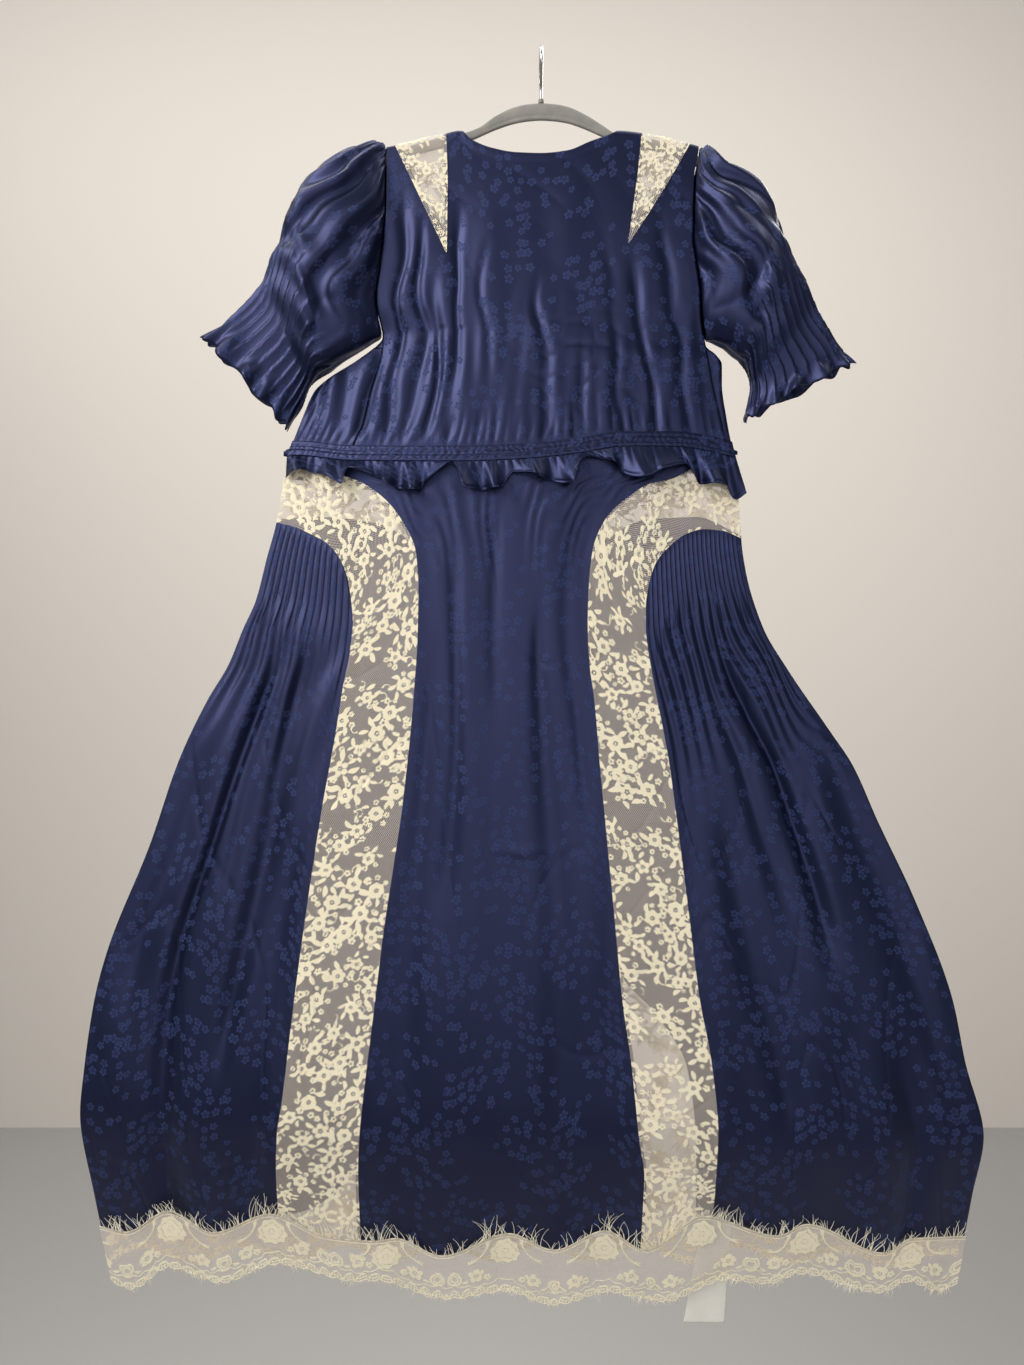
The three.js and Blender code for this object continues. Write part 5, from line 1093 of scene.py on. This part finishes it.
def sprinkled_flowers(tree, cell, share, shift):
    """Where small five-petal flowers lie: one in each cell of that size in mm, turned by the cell's colour
    and kept where a slow noise is high. A petal is a disc on the nearest of five axes."""
    place = node(tree, "VectorMath", (cloth_place(tree, cell, cell), shift), operation="ADD")
    cells = node(tree, "TexVoronoi", {"Vector": place, "Scale": 1.0, "Randomness": 0.8},
                 voronoi_dimensions="2D")
    position = cells.outputs["Position"]
    dice = node(tree, "SeparateColor", (cells.outputs["Color"],)).outputs
    local = node(tree, "SeparateXYZ", (node(tree, "VectorMath", (place, position), operation="SUBTRACT"),))
    x = node(tree, "Math", (local.outputs[0], cell), operation="MULTIPLY")
    y = node(tree, "Math", (local.outputs[1], cell), operation="MULTIPLY")
    square = node(tree, "Math", (y, y), operation="MULTIPLY")
    square = node(tree, "Math", (x, x, square), operation="MULTIPLY_ADD")
    size = node(tree, "MapRange", (dice[2], 0, 1, 0.85, 1.2))
    away = node(tree, "Math", (node(tree, "Math", (square,), operation="SQRT"), size), operation="DIVIDE")
    angle = node(tree, "Math", (y, x), operation="ARCTAN2")
    angle = node(tree, "Math", (dice[0], 6.283, angle), operation="MULTIPLY_ADD")
    folded = node(tree, "Math", (angle, np.pi / 5), operation="PINGPONG")
    cosine = node(tree, "Math", (folded,), operation="COSINE")
    sine = node(tree, "Math", (folded,), operation="SINE")
    petal_x = node(tree, "Math", (away, cosine, -2.9), operation="MULTIPLY_ADD")
    petal_y = node(tree, "Math", (away, sine), operation="MULTIPLY")
    square = node(tree, "Math", (petal_y, petal_y), operation="MULTIPLY")
    square = node(tree, "Math", (petal_x, petal_x, square), operation="MULTIPLY_ADD")
    petal = node(tree, "Math", (square,), operation="SQRT")
    discs = node(tree, "MapRange", (petal, 1.25, 1.65, 1, 0))
    eye = node(tree, "MapRange", (away, 0.55, 0.95, 1, 0))
    shape = node(tree, "Math", (discs, eye), operation="MAXIMUM")
    slow = node(tree, "TexNoise", {"Vector": position, "Scale": cell / 62, "Detail": 1.0},
                noise_dimensions="2D")
    chance = node(tree, "Math", (dice[1], 0.34, slow), operation="MULTIPLY_ADD")
    kept = node(tree, "Math", (chance, share), operation="GREATER_THAN")
    return node(tree, "Math", (shape, kept), operation="MULTIPLY")


def satin_material(colours):
    # Silk-like jacquard satin, woven: the warp-faced ground is smooth and glossy, and the weft-faced flowers
    # are duller and paler. So they look darker where the ground shines, and lighter where it doesn't.
    material, tree = new_material("Jacquard satin, woven silk")
    flowers = sprinkled_flowers(tree, 13.0, 0.69, (0, 0, 0))
    small = node(tree, "Math", (sprinkled_flowers(tree, 12.0, 0.79, (7.3, 3.1, 0)), 0.8), operation="MULTIPLY")
    pattern = node(tree, "Math", (flowers, small), operation="MAXIMUM")
    # Real warp threads are 0.1 mm apart; these streaks are 0.9 mm, so that they show
    warp = node(tree, "TexNoise", {"Vector": cloth_place(tree, 0.9, 26), "Scale": 1.0, "Detail": 2.0},
                noise_dimensions="2D")
    slub = node(tree, "TexNoise", {"Vector": cloth_place(tree, 34, 60), "Scale": 1.0, "Detail": 3.0},
                noise_dimensions="2D")
    ground = node(tree, "Mix", {0: warp, 6: tint(colours.satin, 0.8), 7: tint(colours.satin, 1.2)},
                  data_type="RGBA").outputs[2]
    base = node(tree, "Mix", {0: pattern, 6: ground, 7: tint(colours.satin_flower)},
                data_type="RGBA").outputs[2]
    dull = node(tree, "MapRange", (pattern, 0, 1, 0.37, 0.62))
    rough = node(tree, "Math", (slub, 0.08, dull), operation="MULTIPLY_ADD")
    threads = node(tree, "Math", (warp, 0.25), operation="MULTIPLY")
    height = node(tree, "Math", (pattern, 0.6, threads), operation="MULTIPLY_ADD")
    raised = node(tree, "Bump", {"Strength": 0.35, "Distance": 0.0003, "Height": height})
    shader = node(tree, "BsdfPrincipled", {
        "Base Color": base, "Roughness": rough, "IOR": 1.54, "Specular IOR Level": 0.76,
        "Specular Tint": tint(linear("aab3ff")), "Normal": raised,
    })
    node(tree, "OutputMaterial", {"Surface": shader})
    return material


def lace_material(colours, sizes):
    # Corded lace, cotton on a fine net: matte thread that scatters light. The motifs are close clothwork
    # with a raised cord round them. The real net has cells of about 1 mm; these are as coarse as they need
    # to be to show. It is open between its threads.
    material, tree = new_material("Corded lace, cotton net")
    motif = node(tree, "Attribute", attribute_name="motif", attribute_type="GEOMETRY").outputs["Fac"]
    fray = node(tree, "TexNoise", {"Vector": cloth_place(tree, 1.7, 1.7), "Scale": 1.0, "Detail": 1.0},
                noise_dimensions="2D")
    frayed = node(tree, "MapRange", (fray, 0.2, 0.8, -0.3, 0.3))
    field = node(tree, "Math", (motif, frayed), operation="ADD")
    solid = node(tree, "MapRange", (field, -0.12, 0.18))
    place = node(tree, "SeparateXYZ", (cloth_place(tree, 1, 1),))
    x = node(tree, "Math", (place.outputs[0], 0.82), operation="MULTIPLY")
    y = node(tree, "Math", (place.outputs[1], 0.57), operation="MULTIPLY")
    net_mm = sizes.net_cell * 1000
    lines = []
    for sign in (1, -1):
        along = node(tree, "Math", (y, sign, x), operation="MULTIPLY_ADD")
        cell = node(tree, "Math", (along, net_mm), operation="DIVIDE")
        lines.append(node(tree, "Math", (cell, 0.5), operation="PINGPONG"))
    nearest = node(tree, "Math", lines, operation="MINIMUM")
    nearest = node(tree, "Math", (nearest, net_mm), operation="MULTIPLY")
    thread = node(tree, "MapRange", (nearest, 0.13, 0.27, 0.92, 0))
    alpha = node(tree, "Math", (solid, thread), operation="MAXIMUM")
    weave = node(tree, "TexNoise", {"Vector": cloth_place(tree, 0.6, 2.2), "Scale": 1.0, "Detail": 1.0},
                 noise_dimensions="2D")
    woven = node(tree, "Mix", {0: weave, 6: tint(colours.lace, 0.86), 7: tint(colours.lace)},
                 data_type="RGBA").outputs[2]
    base = node(tree, "Mix", {0: solid, 6: tint(colours.net), 7: woven}, data_type="RGBA").outputs[2]
    inside = node(tree, "MapRange", (field, 0.1, 0.5))
    near_edge = node(tree, "MapRange", (field, 1.3, 0.7))
    cord = node(tree, "Math", (inside, near_edge), operation="MULTIPLY")
    height = node(tree, "Math", (weave, 0.35, solid), operation="MULTIPLY_ADD")
    height = node(tree, "Math", (cord, 0.7, height), operation="MULTIPLY_ADD")
    raised = node(tree, "Bump", {"Strength": 0.6, "Distance": 0.0005, "Height": height})
    shader = node(tree, "BsdfPrincipled", {
        "Base Color": base, "Roughness": 0.82, "IOR": 1.5, "Specular IOR Level": 0.3, "Sheen Weight": 0.15,
        "Sheen Roughness": 0.5, "Alpha": alpha, "Normal": raised,
    })
    node(tree, "OutputMaterial", {"Surface": shader})
    return material


def thread_material(colours):
    # Cotton sewing and fringe thread, twisted: matte, with a fine slanting twist
    material, tree = new_material("Cotton thread, twisted")
    twist = node(tree, "TexNoise", {"Vector": cloth_place(tree, 0.5, 1.4), "Scale": 1.0}, noise_dimensions="2D")
    base = node(tree, "Mix", {0: twist, 6: tint(colours.lace), 7: (1, 0.98, 0.9, 1)},
                data_type="RGBA").outputs[2]
    raised = node(tree, "Bump", {"Strength": 0.3, "Distance": 0.0001, "Height": twist})
    shader = node(tree, "BsdfPrincipled", {
        "Base Color": base, "Roughness": 0.8, "Specular IOR Level": 0.3, "Normal": raised})
    node(tree, "OutputMaterial", {"Surface": shader})
    return material


def label_material(colours):
    # Woven polyester satin tape: off-white and slightly glossy, with fine cross ribs 0.8 mm apart
    material, tree = new_material("Satin tape, woven polyester")
    place = node(tree, "SeparateXYZ", (cloth_place(tree, 0.8, 0.8),))
    ribs = node(tree, "Math", (place.outputs[1], 0.5), operation="PINGPONG")
    cloud = node(tree, "TexNoise", {"Vector": cloth_place(tree, 12, 12), "Scale": 1.0}, noise_dimensions="2D")
    base = node(tree, "Mix", {0: cloud, 6: tint(colours.label, 0.9), 7: tint(colours.label)},
                data_type="RGBA").outputs[2]
    raised = node(tree, "Bump", {"Strength": 0.25, "Distance": 0.0001, "Height": ribs})
    shader = node(tree, "BsdfPrincipled", {"Base Color": base, "Roughness": 0.48, "Normal": raised})
    node(tree, "OutputMaterial", {"Surface": shader})
    return material


def hanger_material(colours):
    # ABS with a fine flocked coat, as on non-slip hangers: matte, finely speckled, rubbed paler in places
    material, tree = new_material("Flocked ABS, moulded")
    place = node(tree, "TexCoord").outputs["Object"]
    speck = node(tree, "TexNoise", {"Vector": place, "Scale": 1500.0, "Detail": 2.0})
    rubbed = node(tree, "TexNoise", {"Vector": place, "Scale": 55.0, "Detail": 3.0})
    worn = node(tree, "MapRange", (rubbed, 0.35, 0.75))
    base = node(tree, "Mix", {0: worn, 6: tint(colours.hanger, 0.84), 7: tint(colours.hanger, 1.12)},
                data_type="RGBA").outputs[2]
    specks = node(tree, "MapRange", (speck, 0.3, 0.7, 0, 0.35))
    base = node(tree, "Mix", {0: specks, 6: base, 7: tint(colours.hanger, 0.55)}, data_type="RGBA").outputs[2]
    raised = node(tree, "Bump", {"Strength": 0.5, "Distance": 0.0002, "Height": speck})
    shader = node(tree, "BsdfPrincipled", {
        "Base Color": base, "Roughness": 0.8, "Sheen Weight": 0.3, "Sheen Roughness": 0.5, "Normal": raised})
    node(tree, "OutputMaterial", {"Surface": shader})
    return material


def steel_material(colours):
    # Chrome-plated steel wire, drawn: bright, with faint scratches round it that spread its reflections
    material, tree = new_material("Chrome-plated steel, drawn wire")
    place = node(tree, "TexCoord").outputs["Object"]
    fine = node(tree, "Mapping", {"Vector": place, "Scale": (400, 400, 4000)})
    marks = node(tree, "TexNoise", {"Vector": fine, "Scale": 1.0, "Detail": 3.0})
    rough = node(tree, "MapRange", (marks, 0.3, 0.7, 0.14, 0.3))
    raised = node(tree, "Bump", {"Strength": 0.12, "Distance": 0.0001, "Height": marks})
    shader = node(tree, "BsdfPrincipled", {
        "Base Color": tint(colours.steel), "Metallic": 1.0, "Roughness": rough, "Normal": raised})
    node(tree, "OutputMaterial", {"Surface": shader})
    return material


def backdrop_material(name, colour):
    # Matte paper with a faint tooth
    material, tree = new_material(f"{name}, matte paper")
    place = node(tree, "TexCoord").outputs["Object"]
    tooth = node(tree, "TexNoise", {"Vector": place, "Scale": 260.0, "Detail": 3.0})
    base = node(tree, "Mix", {0: tooth, 6: tint(colour, 0.96), 7: tint(colour)}, data_type="RGBA").outputs[2]
    raised = node(tree, "Bump", {"Strength": 0.15, "Distance": 0.0006, "Height": tooth})
    shader = node(tree, "BsdfPrincipled", {"Base Color": base, "Roughness": 0.95, "Normal": raised})
    node(tree, "OutputMaterial", {"Surface": shader})
    return material


def colour_property(label, text, hex_colour):
    return FloatVectorProperty(
        name=label, description=text, subtype="COLOR", size=3, min=0, max=1, default=linear(hex_colour))


class DressColours(bpy.types.PropertyGroup):
    """Colours of the cloth, the fittings and the stage."""

    satin: colour_property("Satin", "Glossy ground of the satin", "02081a")
    satin_flower: colour_property("Satin flowers", "Duller woven flowers of the satin", "1f2b4c")
    lace: colour_property("Lace", "Motifs and threads of the lace", "fbf0d2")
    net: colour_property("Net", "Net between the motifs", "e0d3c6")
    hanger: colour_property("Hanger", "Flocked hanger", "97938c")
    steel: colour_property("Steel", "Hook", "d2d2cf")
    label: colour_property("Label", "Blank care label", "f1eee4")
    backdrop: colour_property("Backdrop", "Wall of the stage", "e6ded4")
    floor: colour_property("Floor", "Floor of the stage", "b0aeab")


class DressSizes(bpy.types.PropertyGroup):
    """Sizes of the fine details."""

    lace_step: FloatProperty(
        name="Lace step", description="Mesh step of the near lace", default=0.0013, min=0.0008, max=0.004,
        subtype="DISTANCE", unit="LENGTH")
    far_step: FloatProperty(
        name="Far lace step", description="Mesh step of the hidden side's lace", default=0.0024, min=0.001,
        max=0.006, subtype="DISTANCE", unit="LENGTH")
    net_cell: FloatProperty(
        name="Net cell", description="Distance between the threads of the net", default=0.0017, min=0.0008,
        max=0.004, subtype="DISTANCE", unit="LENGTH")
    lashes: IntProperty(
        name="Eyelash threads", description="Threads along the near hem lace's top edge", default=430, min=50,
        max=900)
    camera_distance: FloatProperty(
        name="Camera distance", description="From the camera to the plane of the dress", default=1.085,
        min=0.5, max=5, subtype="DISTANCE", unit="LENGTH")


MATERIALS = {}
HEM_TOPS = {NEAR: near_hem_top, FAR: far_hem_top}


def material_of(name, maker, *settings):
    """The material that was made under that name before, or a new one."""
    if name not in MATERIALS:
        MATERIALS[name] = maker(*settings)
    return MATERIALS[name]


def satin_of(context):
    return material_of("satin", satin_material, context.scene.dress_colours)


def lace_of(context):
    return material_of("lace", lace_material, context.scene.dress_colours, context.scene.dress_sizes)


def lace_steps(context):
    sizes = context.scene.dress_sizes
    return {NEAR: sizes.lace_step * 1000, FAR: sizes.far_step * 1000}


class DRESS_OT_stage(bpy.types.Operator):
    """Adds the camera, the wall, the floor and the lights"""

    bl_idname = "dress.stage"
    bl_label = "Stage"

    def execute(self, context):
        scene, colours = context.scene, context.scene.dress_colours
        scene.view_settings.view_transform = "Standard"
        data = bpy.data.cameras.new("Camera")
        data.lens, data.sensor_width = LENS_MM, 36
        camera = bpy.data.objects.new("Camera", data)
        camera.location = (CAMERA_X, -scene.dress_sizes.camera_distance, CAMERA_Z)
        camera.rotation_euler = (np.pi / 2, 0, 0)
        scene.collection.objects.link(camera)
        scene.camera = camera
        front = [(-STAGE_HALF, STAGE_FRONT, FLOOR_Z), (STAGE_HALF, STAGE_FRONT, FLOOR_Z)]
        foot = [(-STAGE_HALF, WALL_Y, FLOOR_Z), (STAGE_HALF, WALL_Y, FLOOR_Z)]
        head = [(STAGE_HALF, WALL_Y, STAGE_TOP), (-STAGE_HALF, WALL_Y, STAGE_TOP)]
        for name, colour, corners in (
            ("stage_wall", colours.backdrop, foot + head), ("stage_floor", colours.floor, front + foot[::-1]),
        ):
            mesh = bpy.data.meshes.new(name)
            mesh.from_pydata(corners, [], [(0, 1, 2, 3)])
            mesh.materials.append(backdrop_material(name, colour))
            plane = bpy.data.objects.new(name, mesh)
            scene.collection.objects.link(plane)
        for name, place, target, size, energy, spread in LIGHTS:
            lamp = bpy.data.lights.new(name, "AREA")
            lamp.shape, lamp.size, lamp.size_y = "RECTANGLE", *size
            lamp.energy, lamp.color, lamp.spread = energy, LIGHT_COLOUR, np.radians(spread)
            light = bpy.data.objects.new(name, lamp)
            light.location, light.visible_camera = place, False
            light.rotation_euler = (Vector(target) - Vector(place)).to_track_quat("-Z", "Y").to_euler()
            scene.collection.objects.link(light)
        world = bpy.data.worlds.new("Studio")
        world.use_nodes = True
        background = world.node_tree.nodes["Background"]
        background.inputs["Color"].default_value = SKY_COLOUR
        background.inputs["Strength"].default_value = SKY_STRENGTH
        scene.world = world
        return {"FINISHED"}


class DRESS_OT_bodice(bpy.types.Operator):
    """Sews the back bodice, its set-back left side and the front bodice"""

    bl_idname = "dress.bodice"
    bl_label = "Bodice"

    def execute(self, context):
        satin = satin_of(context)

        def back_left(z):
            return np.where(z > SIDE_FOLD[0, 0], left_at(z), side_fold_at(z) + SEAM)

        back = bodice("bodice_back", NEAR, BACK_NECK, back_left, line_of(BACK_RIGHT), bodice_relief, satin,
                      (1.7, 2.6))
        front = bodice("bodice_front", FAR, FRONT_NECK, left_at, right_at, front_relief, satin, (2.6, 3.6))

        left, right = lambda z: left_at(z) + SEAM, lambda z: side_fold_at(z) - SEAM
        bottom = edge_line(left, right, lambda x: waist_at(x) + 0.6)
        points = panel(NEAR, left, right, lambda u: -314 + 0 * u, bottom, spaced(66, 1.4), spaced(106, 2),
                       side_relief)
        side = cloth("bodice_left_side", NEAR, points, satin)
        return {"FINISHED"}


class DRESS_OT_insets(bpy.types.Operator):
    """Sets a lace triangle into each shoulder notch, on both sides"""

    bl_idname = "dress.insets"
    bl_label = "Shoulder insets"

    def execute(self, context):
        for seed, (side, shape) in enumerate(INSETS.items(), 300):
            for sign, word in SIDES.items():
                step = lace_steps(context)[sign]
                piece = inset(f"inset_{word}_{side}", sign, shape, seed, step, lace_of(context))
        return {"FINISHED"}


class DRESS_OT_sleeves(bpy.types.Operator):
    """Sews the two puff sleeves"""

    bl_idname = "dress.sleeves"
    bl_label = "Puff sleeves"

    def execute(self, context):
        for name, rings, armhole_at, gap, seed in (
            ("sleeve_left", LEFT_SLEEVE, left_at, 1.0, 1), ("sleeve_right", RIGHT_SLEEVE, right_at, 1.9, 2),
        ):
            piece = sleeve(name, rings, armhole_at, gap, seed, satin_of(context))
        return {"FINISHED"}


class DRESS_OT_waist(bpy.types.Operator):
    """Sews the gathered casing and the ruffle of each side"""

    bl_idname = "dress.waist"
    bl_label = "Waist casing and ruffle"

    def execute(self, context):
        satin = satin_of(context)
        for sign, waves, edge in (
            (NEAR, 12, line_of(RUFFLE_EDGE)), (FAR, 9, lambda x: waist_at(x) - FAR_RUFFLE_DROP),
        ):
            word = SIDES[sign]
            strip = casing(f"casing_{word}", sign, 41 + sign, satin)
            frill = ruffle(f"ruffle_{word}", sign, waves, edge, 51 + sign, satin)
        return {"FINISHED"}


class DRESS_OT_skirt(bpy.types.Operator):
    """Sews the six satin panels of the skirt"""

    bl_idname = "dress.skirt"
    bl_label = "Skirt panels"

    def execute(self, context):
        satin = satin_of(context)
        near_left, near_right = under_band(NEAR_LEFT_BAND, 7, LAP), under_band(NEAR_RIGHT_BAND, 8, -LAP)
        far_left, far_right = under_band(FAR_LEFT_BAND, 6, LAP), under_band(FAR_RIGHT_BAND, 6, -LAP)
        near_centre = inside_band(NEAR_LEFT_BAND, -LAP), inside_band(NEAR_RIGHT_BAND, LAP)
        far_centre = inside_band(FAR_LEFT_BAND, -LAP), inside_band(FAR_RIGHT_BAND, LAP)
        for place, key, maker, sign, edges, seed, spacing, flat, area in (
            ("left", "near_left", side_panel, NEAR, (left_at, near_left), 61, (0.9, 3.4), (0.36, 0.86), 0.16),
            ("right", "near_right", side_panel, NEAR, (near_right, right_at), 64, (0.8, 3.6), (0.45, 0.86), 0.19),
            ("left", "far_left", side_panel, FAR, (left_at, far_left), 67, (0.9, 5.5), (0.46, 0.86), 0.22),
            ("right", "far_right", side_panel, FAR, (far_right, right_at), 70, (0.9, 5.5), (0.48, 0.86), 0.24),
            ("centre", "near_centre", centre_panel, NEAR, near_centre, 73, (2.3, 3.6), (0.36, 0.88), 0.22),
            ("centre", "far_centre", centre_panel, FAR, far_centre, 76, (4.0, 5.0), (0.30, 0.88), 0.11),
        ):
            word = SIDES[sign]
            piece = maker(f"skirt_{word}_{place}", key, sign, *edges, HEM_TOPS[sign], seed, satin, spacing)
        return {"FINISHED"}


class DRESS_OT_lace_bands(bpy.types.Operator):
    """Lays the four curved lace bands over the skirt's seams"""

    bl_idname = "dress.lace_bands"
    bl_label = "Lace bands"

    def execute(self, context):
        for side, sign, rows, seed in (
            ("left", NEAR, NEAR_LEFT_BAND, 311), ("right", NEAR, NEAR_RIGHT_BAND, 313),
            ("left", FAR, FAR_LEFT_BAND, 315), ("right", FAR, FAR_RIGHT_BAND, 317),
        ):
            word, step = SIDES[sign], lace_steps(context)[sign]
            piece = band(f"lace_band_{word}_{side}", sign, rows, HEM_TOPS[sign], seed, step, lace_of(context))
        return {"FINISHED"}


class DRESS_OT_hem(bpy.types.Operator):
    """Adds the scalloped hem lace with its eyelash fringe, on both sides"""

    bl_idname = "dress.hem"
    bl_label = "Hem lace and fringe"

    def execute(self, context):
        threads = material_of("thread", thread_material, context.scene.dress_colours)
        lashes = context.scene.dress_sizes.lashes
        far_peaks = FAR_HEM_PEAK + HEM_REPEAT * np.arange(-4, 9, dtype=float)
        for sign, hem_bottom, peaks, step, share in (
            (NEAR, near_hem_bottom, HEM_PEAKS, 1.15, 1.0),
            (FAR, far_hem_bottom, far_peaks, lace_steps(context)[FAR], 0.5),
        ):
            word, hem_top = SIDES[sign], HEM_TOPS[sign]
            upper = eyelashes(f"eyelashes_top_{word}", sign, hem_top, 1, int(lashes * share), 20.0, 3.9, 81,
                              threads)
            lower = eyelashes(f"eyelashes_bottom_{word}", sign, hem_bottom, -1, int(lashes * share * 0.8), 11.0,
                              1.6, 85, threads)
            piece = hem_lace(f"hem_lace_{word}", sign, hem_top, hem_bottom, peaks, step, lace_of(context))
        return {"FINISHED"}


class DRESS_OT_label(bpy.types.Operator):
    """Hangs the blank label behind the hem lace"""

    bl_idname = "dress.label"
    bl_label = "Care label"

    def execute(self, context):
        tape = material_of("label", label_material, context.scene.dress_colours)
        piece = care_label("care_label", tape)
        return {"FINISHED"}


class DRESS_OT_hanger(bpy.types.Operator):
    """Adds the hanger's body, its collar and its hook"""

    bl_idname = "dress.hanger"
    bl_label = "Hanger"

    def execute(self, context):
        colours = context.scene.dress_colours
        flocked = material_of("hanger", hanger_material, colours)
        hanger_body("hanger_body", flocked)
        collar("hanger_collar", flocked)
        hook("hanger_hook", material_of("steel", steel_material, colours))
        return {"FINISHED"}


OPERATORS = (
    DRESS_OT_stage, DRESS_OT_bodice, DRESS_OT_insets, DRESS_OT_sleeves, DRESS_OT_waist, DRESS_OT_skirt,
    DRESS_OT_lace_bands, DRESS_OT_hem, DRESS_OT_label, DRESS_OT_hanger,
)


class DRESS_PT_panel(bpy.types.Panel):
    """Lists the dress's pieces and settings"""

    bl_idname = "DRESS_PT_panel"
    bl_label = "Dress"
    bl_space_type = "VIEW_3D"
    bl_region_type = "UI"
    bl_category = "Dress"

    def draw(self, context):
        for group in (context.scene.dress_sizes, context.scene.dress_colours):
            for key in group.__annotations__:
                self.layout.prop(group, key)
        for operator in OPERATORS:
            self.layout.operator(operator.bl_idname)


CLASSES = (DressColours, DressSizes, *OPERATORS, DRESS_PT_panel)


def register():
    for cls in CLASSES:
        bpy.utils.register_class(cls)
    bpy.types.Scene.dress_colours = PointerProperty(type=DressColours)
    bpy.types.Scene.dress_sizes = PointerProperty(type=DressSizes)


def unregister():
    del bpy.types.Scene.dress_sizes
    del bpy.types.Scene.dress_colours
    for cls in reversed(CLASSES):
        bpy.utils.unregister_class(cls)


def main():
    register()
    for operator in OPERATORS:
        group, name = operator.bl_idname.split(".")
        getattr(getattr(bpy.ops, group), name)()


if __name__ == "__main__":
    main()
